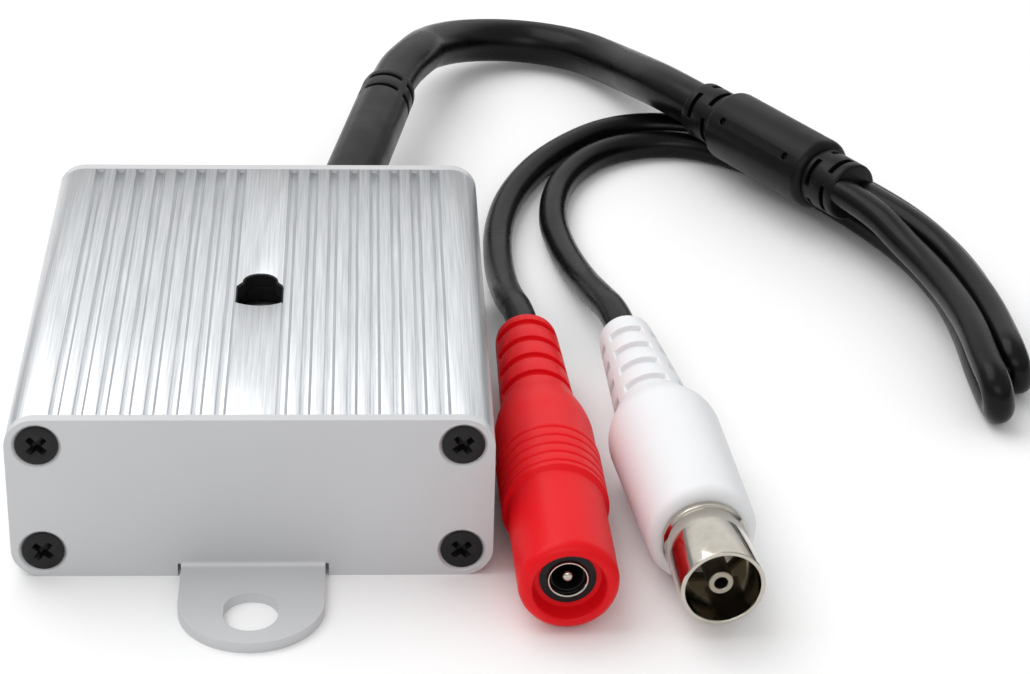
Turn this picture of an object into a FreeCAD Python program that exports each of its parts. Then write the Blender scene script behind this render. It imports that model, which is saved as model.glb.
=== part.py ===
import FreeCAD, Part
import Sketcher
import math
import os
from types import SimpleNamespace

# Surveillance microphone: a ribbed extruded case closed by two bent end plates,
# the pickup board inside it, and a lead that splits into a power and an audio tail.
# Frame: millimetres, +Z up, origin under the middle of the case on the surface it stands on,
# front plate towards -Y, cable towards +Y.

Vector = FreeCAD.Vector
Placement = FreeCAD.Placement
Rotation = FreeCAD.Rotation

driving = [
    # case
    ("caseWidth", 50.0),
    ("caseHeight", 18.8),
    ("profileLength", 58.0),
    ("cornerRadius", 3.2),
    ("wallThickness", 1.6),
    # ribs on the top face
    ("grooveFirst", 3.1),
    ("groovePitch", 2.4),
    ("grooveCount", 8),
    ("grooveTopWidth", 1.0),
    ("grooveFloorWidth", 0.5),
    ("grooveDepth", 0.45),
    # screw ports in the corners of the profile
    ("portInset", 3.3),
    ("portDrop", 3.05),
    ("portRadius", 2.4),
    ("portBore", 2.9),
    # opening over the microphone, its middle measured from the middle of the case
    ("openingPlace", -2.5),
    ("openingWidth", 5.1),
    ("openingFront", 1.7),
    ("openingBack", 1.7),
    ("openingBow", 1.0),
    ("lobeRadius", 1.96),
    ("lobeSetback", 2.95),
    # end plates with their mounting ears
    ("plateThickness", 1.2),
    ("earWidth", 15.0),
    ("earReach", 14.0),
    ("earHoleWidth", 5.6),
    ("earHoleLength", 6.8),
    ("earHoleSetback", 8.4),
    ("bendRadius", 0.7),
    ("notchWidth", 0.6),
    ("notchHeight", 1.7),
    ("cableHole", 8.6),
    ("cableHeight", 9.4),
    ("cableInset", 7.4),
    # countersunk screws
    ("screwHead", 4.7),
    ("screwShank", 2.3),
    ("screwLength", 9.0),
    ("screwEdge", 0.15),
    ("recessSpan", 2.5),
    ("recessWidth", 0.65),
    ("recessDepth", 0.7),
    ("fitGap", 0.3),
    ("slideGap", 0.15),
    # board and what it carries
    ("boardHeight", 6.3),
    ("boardThickness", 1.6),
    ("boardLength", 50.0),
    ("ribReach", 1.2),
    ("ribThickness", 0.8),
    ("capsuleDiameter", 9.7),
    ("capsuleUnder", 1.6),
    ("capsuleOver", 1.7),
    ("capsuleRim", 0.5),
    ("sleeveWall", 1.1),
    ("chipLength", 9.4),
    ("chipWidth", 6.4),
    ("chipHeight", 3.3),
    ("chipPitch", 2.54),
    ("smallCapacitor", 5.0),
    ("smallCapacitorClear", 2.8),
    ("largeCapacitor", 6.3),
    ("largeCapacitorClear", 1.5),
    ("regulatorWidth", 4.6),
    ("regulatorHeight", 4.8),
    ("trimmerSize", 6.6),
    ("trimmerHeight", 4.2),
    ("resistorLength", 3.4),
    ("resistorDiameter", 1.8),
    ("leadDiameter", 1.2),
    # boot on the cable where it leaves the rear plate
    ("bootDiameter", 7.3),
    ("bootLength", 42.5),
    ("bootLean", 10.07),
    ("bootFlange", 10.2),
    ("bootFlangeThickness", 1.6),
    ("bootNeck", 8.0),
    ("slotWidth", 0.8),
    ("slotDepth", 0.75),
    ("slotSpacing", 3.4),
    ("slotSetback", 2.6),
    # cables
    ("mainDiameter", 6.2),
    ("tailDiameter", 3.7),
    ("tailSpacing", 3.8),
    # moulded joint that splits the cable
    ("jointHeight", 8.2),
    ("jointDiameter", 9.5),
    ("jointLength", 19.4),
    ("jointRounding", 1.5),
    ("reliefDiameter", 7.6),
    ("reliefLength", 5.7),
    ("dimpleDiameter", 1.0),
    ("dimpleDepth", 0.6),
    ("dimpleSpacing", 12.7),
    # red power socket
    ("powerLength", 52.3),
    ("powerBack", 7.2),
    ("powerReliefEnd", 8.4),
    ("powerReliefLength", 16.7),
    ("powerShoulder", 7.2),
    ("powerBody", 11.0),
    ("powerBandStart", 28.8),
    ("powerBand", 11.4),
    ("powerBandLength", 8.6),
    ("powerSleeve", 10.4),
    ("powerRounding", 1.3),
    ("powerRecess", 7.1),
    ("powerRecessDepth", 1.9),
    ("powerBarrel", 4.2),
    ("powerBarrelWall", 0.2),
    ("powerBarrelLength", 12.0),
    ("powerPin", 1.3),
    ("ringPitch", 1.72),
    ("ringDepth", 0.22),
    ("ringCount", 5),
    # white audio socket
    ("audioLength", 43.4),
    ("audioBack", 6.3),
    ("audioReliefEnd", 8.8),
    ("audioReliefLength", 18.4),
    ("audioShoulder", 5.4),
    ("audioBody", 12.5),
    ("audioFront", 11.7),
    ("audioRounding", 1.5),
    ("shellBase", 9.3),
    ("shellBaseLength", 2.0),
    ("shellDiameter", 8.8),
    ("shellLength", 7.6),
    ("shellWall", 0.5),
    ("shellTail", 7.0),
    ("contactDiameter", 2.6),
    ("contactBore", 1.4),
    # ribs of the two socket reliefs
    ("socketSlotCount", 4),
    ("socketSlotPitch", 4.2),
    ("socketSlotWidth", 1.3),
]

doc = FreeCAD.newDocument("Microphone")
sheet = doc.addObject("Spreadsheet::Sheet", "Sizes")


class Size:
    # A length that carries both its number and the sheet expression it comes from.
    def __init__(self, value, text):
        self.value = float(value)
        self.text = text

    def __add__(self, other):
        return combined(self, "+", other)

    def __radd__(self, other):
        return combined(other, "+", self)

    def __sub__(self, other):
        return combined(self, "-", other)

    def __rsub__(self, other):
        return combined(other, "-", self)

    def __mul__(self, other):
        return combined(self, "*", other)

    def __rmul__(self, other):
        return combined(other, "*", self)

    def __truediv__(self, other):
        return combined(self, "/", other)

    def __neg__(self):
        return combined(0, "-", self)


def asSize(item):
    return item if isinstance(item, Size) else Size(item, f"{float(item):.6g}")


def combined(first, sign, second):
    a, b = asSize(first), asSize(second)
    if sign == "+":
        value = a.value + b.value
    elif sign == "-":
        value = a.value - b.value
    elif sign == "*":
        value = a.value * b.value
    else:
        value = a.value / b.value
    return Size(value, f"({a.text} {sign} {b.text})")


for row, (name, number) in enumerate(driving, start=1):
    sheet.set(f"A{row}", name)
    sheet.set(f"B{row}", str(number))
    sheet.setAlias(f"B{row}", name)
S = SimpleNamespace(**{name: Size(number, f"Sizes.{name}") for name, number in driving})
doc.recompute()


# Helpers for bodies, sketches and features

def bind(item, prop, size):
    size = asSize(size)
    if prop.count("."):
        item.setExpression(prop, size.text)
        return
    current = getattr(item, prop)
    setattr(item, prop, int(size.value) if isinstance(current, int) else size.value)
    item.setExpression(prop, size.text)


def newBody(label):
    body = doc.addObject("PartDesign::Body", label)
    body.Label = label
    return body


def originOf(body, role):
    return next(f for f in body.Origin.OriginFeatures if f.Role == role)


def newSketch(body, name, plane, offset=None):
    sketch = body.newObject("Sketcher::SketchObject", name)
    sketch.AttachmentSupport = [(originOf(body, plane), "")]
    sketch.MapMode = "FlatFace"
    if offset is not None:
        offset = asSize(offset)
        sketch.AttachmentOffset = Placement(Vector(0, 0, offset.value), Rotation())
        sketch.setExpression("AttachmentOffset.Base.z", offset.text)
    return sketch


def fixPoint(sketch, geometry, end, x, y):
    for kind, length in (("DistanceX", asSize(x)), ("DistanceY", asSize(y))):
        number = sketch.addConstraint(Sketcher.Constraint(kind, -1, 1, geometry, end, length.value))
        sketch.setExpression(f"Constraints[{number}]", length.text)


def fixRadius(sketch, geometry, radius):
    number = sketch.addConstraint(Sketcher.Constraint("Radius", geometry, asSize(radius).value))
    sketch.setExpression(f"Constraints[{number}]", asSize(radius).text)


def arcThrough(start, end, radius, side):
    # the short arc from start to end; side 1 bows to the right of that direction, -1 to the left
    middle = (start + end) * 0.5
    along = end - start
    half = along.Length / 2
    normal = Vector(along.y, -along.x, 0).normalize() * side
    centre = middle - normal * math.sqrt(radius * radius - half * half)
    top = centre + normal * radius
    return Part.Arc(start, top, end)


def drawOutline(sketch, corners, arcs=None):
    # closed outline through the corners; arcs maps a run's number to (radius, side)
    arcs = arcs or {}
    points = [Vector(asSize(x).value, asSize(y).value, 0) for x, y in corners]
    count = len(points)
    first = sketch.GeometryCount
    ends = []
    for i in range(count):
        a, b = points[i], points[(i + 1) % count]
        if i in arcs:
            radius, side = arcs[i]
            edge = arcThrough(a, b, asSize(radius).value, side)
        else:
            edge = Part.LineSegment(a, b)
        number = sketch.addGeometry(edge, False)
        drawn = sketch.Geometry[number]
        ends.append((number, 1, 2) if drawn.StartPoint.distanceToPoint(a) < 1e-6 else (number, 2, 1))
    for i in range(count):
        here, after = ends[i], ends[(i + 1) % count]
        sketch.addConstraint(Sketcher.Constraint("Coincident", here[0], here[2], after[0], after[1]))
    for i, (x, y) in enumerate(corners):
        fixPoint(sketch, ends[i][0], ends[i][1], x, y)
    for i, (radius, side) in arcs.items():
        fixRadius(sketch, first + i, radius)


def drawRectangle(sketch, x0, y0, x1, y1):
    drawOutline(sketch, [(x0, y0), (x1, y0), (x1, y1), (x0, y1)])


def drawCircle(sketch, x, y, radius):
    centre = Vector(asSize(x).value, asSize(y).value, 0)
    circle = Part.Circle(centre, Vector(0, 0, 1), asSize(radius).value)
    number = sketch.addGeometry(circle, False)
    fixPoint(sketch, number, 3, x, y)
    fixRadius(sketch, number, radius)


def grow(body, kind, name, sketch, length, reverse=False):
    # a pad or a pocket of the sketch, checked by volume so that none is silently empty
    before = body.Shape.Volume if body.Tip else 0.0
    feature = body.newObject(f"PartDesign::{kind}", name)
    feature.Profile = sketch
    bind(feature, "Length", length)
    feature.Reversed = reverse
    doc.recompute()
    change = body.Shape.Volume - before
    if (change < 1e-6) if kind == "Pad" else (change > -1e-6):
        raise ValueError(f"{body.Label}: {name} changes nothing")
    return feature


def turn(body, kind, name, sketch, angle=360):
    # a revolution or groove about the sketch's vertical axis, even on both sides when partial
    before = body.Shape.Volume if body.Tip else 0.0
    feature = body.newObject(f"PartDesign::{kind}", name)
    feature.Profile = sketch
    feature.ReferenceAxis = (sketch, ["V_Axis"])
    feature.Angle = angle
    feature.Midplane = angle < 360
    doc.recompute()
    change = body.Shape.Volume - before
    if (change < 1e-6) if kind == "Revolution" else (change > -1e-6):
        raise ValueError(f"{body.Label}: {name} changes nothing")
    return feature


def aroundAxis(body, name, feature, copies, axis="Z_Axis"):
    pattern = body.newObject("PartDesign::PolarPattern", name)
    pattern.Originals = [feature]
    pattern.Axis = (originOf(body, axis), [""])
    pattern.Angle = 360
    pattern.Occurrences = copies
    body.Tip = pattern
    doc.recompute()
    return pattern


def alongAxis(body, name, feature, axis, spacing, copies):
    pattern = body.newObject("PartDesign::LinearPattern", name)
    pattern.Originals = [feature]
    pattern.Direction = (originOf(body, axis), [""])
    pattern.Mode = "Spacing"
    bind(pattern, "Offset", spacing)
    bind(pattern, "Occurrences", copies)
    body.Tip = pattern
    doc.recompute()
    return pattern


def mirrored(body, name, features, plane):
    pattern = body.newObject("PartDesign::Mirrored", name)
    pattern.Originals = features
    pattern.MirrorPlane = (originOf(body, plane), [""])
    body.Tip = pattern
    doc.recompute()
    return pattern


def blend(body, kind, name, radius, wanted):
    # fillet or chamfer on the edges that the test picks from the body as it is
    doc.recompute()
    tip = body.Tip
    names = [f"Edge{i}" for i, edge in enumerate(tip.Shape.Edges, start=1) if wanted(edge)]
    if not names:
        raise ValueError(f"{body.Label}: no edge for {name}")
    feature = body.newObject(f"PartDesign::{kind}", name)
    feature.Base = (tip, names)
    bind(feature, "Radius" if kind == "Fillet" else "Size", radius)
    doc.recompute()
    return feature


def middle(edge):
    return edge.BoundBox.Center


def runsAlong(edge, axis):
    box = edge.BoundBox
    spans = {"x": box.XLength, "y": box.YLength, "z": box.ZLength}
    others = [span for name, span in spans.items() if name != axis]
    return spans[axis] > 1e-3 and max(others) < 1e-4


def near(a, b, gap=1e-3):
    return abs(a - b) < gap


def isRing(edge, z, radius):
    box = edge.BoundBox
    return near(box.ZMin, z) and near(box.ZMax, z) and near(box.XMax, radius) and near(box.XMin, -radius)


def pointing(direction, up=Vector(0, 0, 1)):
    # rotation that lays a piece's own +Z along the direction, its own +Y upwards
    z = Vector(direction).normalize()
    x = up.cross(z).normalize()
    y = z.cross(x)
    return Rotation(x, y, z, "ZXY")


half = SimpleNamespace(
    width=S.caseWidth / 2,
    length=S.profileLength / 2,
)
frontFace = half.length + S.plateThickness
cavityWidth = half.width - S.wallThickness
cavityTop = S.caseHeight - S.wallThickness
portX = half.width - S.portInset
portTop = S.caseHeight - S.portDrop
boardTop = S.boardHeight + S.boardThickness
headroom = cavityTop - boardTop
capsuleHeight = headroom - S.capsuleUnder - S.capsuleOver


# Extruded case

def makeProfile():
    body = newBody("enclosure_extrusion")
    outline = newSketch(body, "CaseOutline", "XZ_Plane", half.length)
    drawRectangle(outline, -half.width, 0, half.width, S.caseHeight)
    grow(body, "Pad", "CaseBlock", outline, S.profileLength, True)
    blend(body, "Fillet", "CaseCorners", S.cornerRadius,
          lambda e: runsAlong(e, "y"))
    hollow = newSketch(body, "CavityOutline", "XZ_Plane", half.length)
    drawRectangle(hollow, -cavityWidth, S.wallThickness, cavityWidth, cavityTop)
    grow(body, "Pocket", "Cavity", hollow, S.profileLength)
    ports = newSketch(body, "PortOutline", "XZ_Plane", half.length)
    for x in (-portX, portX):
        for z in (S.portDrop, portTop):
            drawCircle(ports, x, z, S.portRadius)
    grow(body, "Pad", "Ports", ports, S.profileLength, True)
    bores = newSketch(body, "PortBores", "XZ_Plane", half.length)
    for x in (-portX, portX):
        for z in (S.portDrop, portTop):
            drawCircle(bores, x, z, S.portBore / 2)
    grow(body, "Pocket", "PortHoles", bores, S.profileLength)
    shelves = newSketch(body, "BoardRibs", "XZ_Plane", half.length)
    for base in (S.boardHeight - S.slideGap - S.ribThickness, boardTop + S.slideGap):
        for side in (-1, 1):
            inner, outer = side * (cavityWidth - S.ribReach), side * (cavityWidth + S.wallThickness / 2)
            drawRectangle(shelves, inner, base, outer, base + S.ribThickness)
    grow(body, "Pad", "BoardSlots", shelves, S.profileLength, True)
    groove = newSketch(body, "GrooveShape", "XZ_Plane", half.length)
    floor = S.caseHeight - S.grooveDepth
    rise = S.grooveDepth * 2
    spread = (S.grooveTopWidth - S.grooveFloorWidth) / 2
    drawOutline(groove, [
        (S.grooveFirst - S.grooveFloorWidth / 2, floor),
        (S.grooveFirst + S.grooveFloorWidth / 2, floor),
        (S.grooveFirst + S.grooveFloorWidth / 2 + spread * 2, floor + rise),
        (S.grooveFirst - S.grooveFloorWidth / 2 - spread * 2, floor + rise),
    ])
    first = grow(body, "Pocket", "Groove", groove, S.profileLength)
    across = body.newObject("PartDesign::MultiTransform", "Grooves")
    row = doc.addObject("PartDesign::LinearPattern", "GrooveRow")
    body.addObject(row)
    row.Direction = (originOf(body, "X_Axis"), [""])
    row.Mode = "Spacing"
    bind(row, "Offset", S.groovePitch)
    bind(row, "Occurrences", S.grooveCount)
    twin = doc.addObject("PartDesign::Mirrored", "GrooveTwin")
    body.addObject(twin)
    twin.MirrorPlane = (originOf(body, "YZ_Plane"), [""])
    across.Originals = [first]
    across.Transformations = [row, twin]
    body.Tip = across
    doc.recompute()
    # round lobe behind, flat sides along the middle strip and a shallow bow in front
    opening = newSketch(body, "OpeningShape", "XY_Plane", S.caseHeight + 1)
    side = S.openingWidth / 2
    front = S.openingPlace - S.openingFront
    back = S.openingPlace + S.openingBack
    lobe = S.openingPlace + S.lobeSetback
    edge = S.lobeRadius - S.openingWidth / 200
    bow = (side * side + S.openingBow * S.openingBow) / (S.openingBow * 2)
    drawOutline(opening, [
        (-side, front), (side, front), (side, back), (edge, lobe), (-edge, lobe), (-side, back)],
                {0: (bow, 1), 3: (S.lobeRadius, 1)})
    grow(body, "Pocket", "MicrophoneOpening", opening, S.wallThickness + 1.5)
    return body


# End plates, cut and bent from sheet, each with a slotted ear

def makePlate(label, cable):
    body = newBody(label)
    outline = newSketch(body, "PlateOutline", "XZ_Plane")
    drawRectangle(outline, -half.width, 0, half.width, S.caseHeight)
    grow(body, "Pad", "Sheet", outline, S.plateThickness)
    blend(body, "Fillet", "PlateCorners", S.cornerRadius, lambda e: runsAlong(e, "y"))
    ear = newSketch(body, "EarShape", "XY_Plane")
    halfEar = S.earWidth / 2
    tip = -(S.plateThickness + S.earReach)
    shoulder = tip + halfEar
    drawOutline(ear, [
        (-halfEar, -S.plateThickness / 2),
        (-halfEar, shoulder),
        (0, tip),
        (halfEar, shoulder),
        (halfEar, -S.plateThickness / 2),
    ], {1: (halfEar, 1), 2: (halfEar, 1)})
    grow(body, "Pad", "Ear", ear, S.plateThickness)
    blend(body, "Fillet", "BendInside", S.bendRadius, lambda e: runsAlong(e, "x")
          and near(middle(e).y, -S.plateThickness.value) and near(middle(e).z, S.plateThickness.value))
    notch = newSketch(body, "ReliefNotch", "XZ_Plane", -1)
    drawRectangle(notch, halfEar, -1, halfEar + S.notchWidth, S.notchHeight)
    cut = grow(body, "Pocket", "Notch", notch, S.plateThickness + 3, True)
    mirrored(body, "Notches", [cut], "YZ_Plane")
    blend(body, "Fillet", "BendOutside", S.bendRadius, lambda e: runsAlong(e, "x")
          and near(middle(e).y, 0) and near(middle(e).z, 0)
          and near(e.BoundBox.XLength, S.earWidth.value, 0.1))
    slot = newSketch(body, "EarSlot", "XY_Plane", S.plateThickness + 1)
    radius = S.earHoleWidth / 2
    reach = S.earHoleLength / 2 - radius
    place = -(S.plateThickness + S.earHoleSetback)
    drawOutline(slot, [
        (radius, place - reach), (radius, place + reach), (0, place + reach + radius),
        (-radius, place + reach), (-radius, place - reach), (0, place - reach - radius),
    ], {1: (radius, 1), 2: (radius, 1), 4: (radius, 1), 5: (radius, 1)})
    grow(body, "Pocket", "EarHole", slot, S.plateThickness + 2)
    # the head's 45 degree cone sits in a countersink that clears it all round
    sinkRadius = S.screwHead / 2 + S.screwEdge + S.slideGap
    for name, x, z in (("TopLeft", -portX, portTop), ("TopRight", portX, portTop),
                       ("LowLeft", -portX, S.portDrop), ("LowRight", portX, S.portDrop)):
        hole = newSketch(body, f"Screw{name}", "XZ_Plane", S.plateThickness)
        drawCircle(hole, x, z, sinkRadius)
        sink = body.newObject("PartDesign::Hole", f"Countersink{name}")
        sink.Profile = hole
        doc.recompute()
        bind(sink, "Diameter", S.screwShank + S.fitGap * 2)
        sink.DepthType = "ThroughAll"
        sink.HoleCutType = "Countersink"
        sink.HoleCutCustomValues = True
        bind(sink, "HoleCutDiameter", sinkRadius * 2)
        sink.HoleCutCountersinkAngle = 90
        doc.recompute()
    if cable:
        gland = newSketch(body, "CableHole", "XZ_Plane", S.plateThickness)
        drawCircle(gland, -S.cableInset, S.cableHeight, S.cableHole / 2)
        grow(body, "Pocket", "CablePassage", gland, S.plateThickness)
        body.Placement = Placement(Vector(0, half.length.value, 0), Rotation(Vector(0, 0, 1), 180))
    else:
        body.Placement = Placement(Vector(0, -half.length.value, 0), Rotation())
    doc.recompute()
    return body


# Countersunk screws, four to a plate

def makeScrew():
    body = newBody("plate_screw_pattern")
    shape = newSketch(body, "ScrewShape", "XZ_Plane")
    head = S.screwHead / 2
    shank = S.screwShank / 2
    drawOutline(shape, [
        (0, 0), (head, 0), (head, -S.screwEdge), (shank, -S.screwEdge - (head - shank)),
        (shank, -S.screwLength + 0.8), (shank - 0.5, -S.screwLength), (0, -S.screwLength),
    ])
    turn(body, "Revolution", "ScrewBlank", shape)
    cross = newSketch(body, "CrossShape", "XY_Plane")
    a, b = S.recessSpan / 2, S.recessWidth / 2
    drawOutline(cross, [(b, a), (-b, a), (-b, b), (-a, b), (-a, -b), (-b, -b),
                        (-b, -a), (b, -a), (b, -b), (a, -b), (a, b), (b, b)])
    recess = grow(body, "Pocket", "CrossRecess", cross, S.recessDepth)
    recess.TaperAngle = -12
    doc.recompute()
    return body


def placeScrews(label, pattern, side, turns):
    places = [(-portX.value, portTop.value), (portX.value, portTop.value),
              (-portX.value, S.portDrop.value), (portX.value, S.portDrop.value)]
    copies = []
    for (x, z), angle in zip(places, turns):
        copy = pattern.Shape.copy()
        facing = pointing(Vector(0, side, 0))
        seat = Vector(x, side * (frontFace.value - 0.05), z)
        copy.Placement = Placement(seat, facing.multiply(Rotation(Vector(0, 0, 1), angle)))
        copies.append(copy)
    group = doc.addObject("Part::Feature", label)
    group.Label = label
    group.Shape = Part.makeCompound(copies)
    return group


# Board and the parts on it

def onBoard(x, y):
    # a place on the board, given for a board 46.8 by 50 and stretched with the real one
    return Vector(x * cavityWidth.value / 23.4, y * S.boardLength.value / 50, boardTop.value)


def makeBoard():
    body = newBody("circuit_board")
    outline = newSketch(body, "BoardOutline", "XY_Plane", S.boardHeight)
    edge = cavityWidth - S.fitGap
    drawRectangle(outline, -edge, -S.boardLength / 2, edge, S.boardLength / 2)
    grow(body, "Pad", "Laminate", outline, S.boardThickness)
    holes = newSketch(body, "LeadHoles", "XY_Plane", boardTop)
    for x in (-2.6, 0, 2.6):
        drawCircle(holes, S.cableInset + x, S.boardLength / 2 - 3, S.leadDiameter / 2 + S.fitGap)
    grow(body, "Pocket", "WirePads", holes, S.boardThickness)
    return body


def makeCapsule():
    body = newBody("microphone_capsule")
    shape = newSketch(body, "CanShape", "XZ_Plane")
    radius = S.capsuleDiameter / 2
    drawOutline(shape, [
        (0, 0), (radius, 0), (radius, capsuleHeight), (radius - 1.4, capsuleHeight),
        (radius - 1.4, capsuleHeight - S.capsuleRim), (0, capsuleHeight - S.capsuleRim),
    ])
    turn(body, "Revolution", "Can", shape)
    ports = newSketch(body, "SoundPort", "XY_Plane", capsuleHeight)
    drawCircle(ports, 0, 1.6, 0.5)
    hole = grow(body, "Pocket", "SoundHole", ports, 1.2)
    aroundAxis(body, "SoundHoles", hole, 3)
    body.Placement = Placement(Vector(0, S.openingPlace.value, capsuleBase.value), Rotation())
    doc.recompute()
    return body


def makeSleeve():
    body = newBody("microphone_sleeve")
    shape = newSketch(body, "SleeveShape", "XZ_Plane")
    inner = S.capsuleDiameter / 2 + S.slideGap
    outer = inner + S.sleeveWall
    top = cavityTop - capsuleBase
    lip = capsuleHeight + S.slideGap
    drawOutline(shape, [
        (inner, 0.6), (outer, 0.6), (outer, top), (inner - 0.9, top), (inner - 0.9, lip), (inner, lip),
    ])
    turn(body, "Revolution", "Sleeve", shape)
    body.Placement = Placement(Vector(0, S.openingPlace.value, capsuleBase.value), Rotation())
    doc.recompute()
    return body


def makeChip():
    body = newBody("amplifier_chip")
    outline = newSketch(body, "ChipOutline", "XY_Plane", boardTop + 0.4)
    x, y = S.chipWidth / 2, S.chipLength / 2
    drawRectangle(outline, -x, -y, x, y)
    grow(body, "Pad", "Package", outline, S.chipHeight)
    legs = newSketch(body, "LegShape", "XZ_Plane", y - S.chipPitch / 2 + 0.6)
    foot = boardTop
    knee = boardTop + 0.4 + S.chipHeight / 2
    drawOutline(legs, [(x - 0.3, knee - 0.25), (x + 0.55, knee - 0.25), (x + 0.55, foot),
                       (x + 0.85, foot), (x + 0.85, knee + 0.1), (x - 0.3, knee + 0.1)])
    leg = grow(body, "Pad", "Leg", legs, 0.5, True)
    across = body.newObject("PartDesign::MultiTransform", "Legs")
    row = doc.addObject("PartDesign::LinearPattern", "LegRow")
    body.addObject(row)
    row.Direction = (originOf(body, "Y_Axis"), [""])
    row.Mode = "Spacing"
    bind(row, "Offset", S.chipPitch)
    row.Occurrences = 4
    twin = doc.addObject("PartDesign::Mirrored", "LegTwin")
    body.addObject(twin)
    twin.MirrorPlane = (originOf(body, "YZ_Plane"), [""])
    across.Originals = [leg]
    across.Transformations = [row, twin]
    body.Tip = across
    doc.recompute()
    body.Placement = Placement(Vector(-12, 8, 0), Rotation())
    doc.recompute()
    return body


def makeCan(name, diameter, height):
    # electrolytic capacitor: a crimped can standing on its rubber bung
    body = newBody(name)
    shape = newSketch(body, "CanOutline", "XZ_Plane")
    radius = diameter / 2
    drawOutline(shape, [
        (0, 0), (radius, 0), (radius, 1.0), (radius - 0.3, 1.3), (radius, 1.6),
        (radius, height - 0.3), (radius - 0.3, height), (0, height),
    ])
    turn(body, "Revolution", "Can", shape)
    return body


def makeGroup(label, pattern, places):
    copies = []
    for place, rotation in places:
        copy = pattern.Shape.copy()
        copy.Placement = Placement(place, rotation)
        copies.append(copy)
    group = doc.addObject("Part::Feature", label)
    group.Label = label
    group.Shape = Part.makeCompound(copies)
    return group


def makeRegulator():
    # half-round transistor case on three legs
    body = newBody("voltage_regulator")
    outline = newSketch(body, "CaseShape", "XY_Plane", boardTop + 1.6)
    radius = S.regulatorWidth / 2
    drawOutline(outline, [(-radius, -0.4), (radius, -0.4), (0, radius - 0.4)],
                {1: (radius, 1), 2: (radius, 1)})
    grow(body, "Pad", "Case", outline, S.regulatorHeight)
    legs = newSketch(body, "Legs", "XY_Plane", boardTop)
    for x in (-1.27, 0, 1.27):
        drawRectangle(legs, x - 0.2, 0.3, x + 0.2, 0.7)
    grow(body, "Pad", "ThreeLegs", legs, 1.8)
    body.Placement = Placement(Vector(13, 13, 0), Rotation())
    doc.recompute()
    return body


def makeTrimmer():
    body = newBody("gain_trimmer")
    outline = newSketch(body, "TrimmerOutline", "XY_Plane", boardTop)
    edge = S.trimmerSize / 2
    drawRectangle(outline, -edge, -edge, edge, edge)
    grow(body, "Pad", "TrimmerCase", outline, S.trimmerHeight)
    blend(body, "Chamfer", "TrimmerCorner", 0.8, lambda e: runsAlong(e, "z") and middle(e).x > 0
          and middle(e).y > 0)
    rotor = newSketch(body, "RotorOutline", "XY_Plane", boardTop + S.trimmerHeight)
    drawCircle(rotor, 0, 0, edge - 1.1)
    grow(body, "Pad", "Rotor", rotor, 0.5)
    slot = newSketch(body, "RotorSlot", "XY_Plane", boardTop + S.trimmerHeight + 0.5)
    drawRectangle(slot, -1.6, -0.3, 1.6, 0.3)
    grow(body, "Pocket", "ScrewSlot", slot, 0.6)
    body.Placement = Placement(Vector(13, -14, 0), Rotation())
    doc.recompute()
    return body


def makeResistor():
    # body with domed end caps lying along its own +Z
    body = newBody("resistor_pattern")
    shape = newSketch(body, "ResistorShape", "XZ_Plane")
    radius = S.resistorDiameter / 2
    drawOutline(shape, [
        (0, 0), (radius, 0), (radius, 0.9), (radius - 0.15, 1.1),
        (radius - 0.15, S.resistorLength - 1.1), (radius, S.resistorLength - 0.9),
        (radius, S.resistorLength), (0, S.resistorLength),
    ])
    turn(body, "Revolution", "Resistor", shape)
    return body


# Cables: straight runs joined by tangent arcs

def cordPath(points):
    points = [Vector(*p) for p in points]
    edges, radii = [], []
    start = points[0]
    for before, corner, after in zip(points, points[1:], points[2:]):
        into, out = corner - before, after - corner
        turning = into.getAngle(out)
        reach = 0.45 * min(into.Length, out.Length)
        radii.append(reach / math.tan(turning / 2))
        a = corner - Vector(into).normalize() * reach
        b = corner + Vector(out).normalize() * reach
        inward = (Vector(out).normalize() - Vector(into).normalize()).normalize()
        sag = radii[-1] * (1 / math.cos(turning / 2) - 1)
        edges.append(Part.LineSegment(start, a).toShape())
        edges.append(Part.Arc(a, corner + inward * sag, b).toShape())
        start = b
    edges.append(Part.LineSegment(start, points[-1]).toShape())
    return Part.Wire(edges), radii


def makeCord(label, points, diameter):
    path, radii = cordPath(points)
    along = Vector(*points[1]) - Vector(*points[0])
    ring = Part.Wire([Part.Circle(Vector(*points[0]), along, diameter / 2).toShape()])
    solid = Part.Wire(path).makePipeShell([ring], True, False)
    expected = math.pi * diameter * diameter / 4 * path.Length
    if abs(solid.Volume / expected - 1) > 0.01:
        raise ValueError(f"{label}: volume {solid.Volume:.1f} against {expected:.1f}")
    cord = doc.addObject("Part::Feature", label)
    cord.Label = label
    cord.Shape = solid
    print(f"{label}: {path.Length:.1f} long, radii {[round(r, 1) for r in radii]}")
    return cord


# Ring of interrupted slots round a moulded relief whose axis is its own Z

def slotRing(body, name, middleZ, outerRadius, depth, arcs, angle, width):
    shape = newSketch(body, f"{name}Shape", "XZ_Plane")
    halfWidth = asSize(width) / 2
    drawRectangle(shape, outerRadius - depth, middleZ - halfWidth, outerRadius + 1, middleZ + halfWidth)
    cut = turn(body, "Groove", f"{name}Cut", shape, angle)
    aroundAxis(body, name, cut, arcs)


# Boot: a root clamped in the rear plate and a leaning tail with two rings of slots

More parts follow.
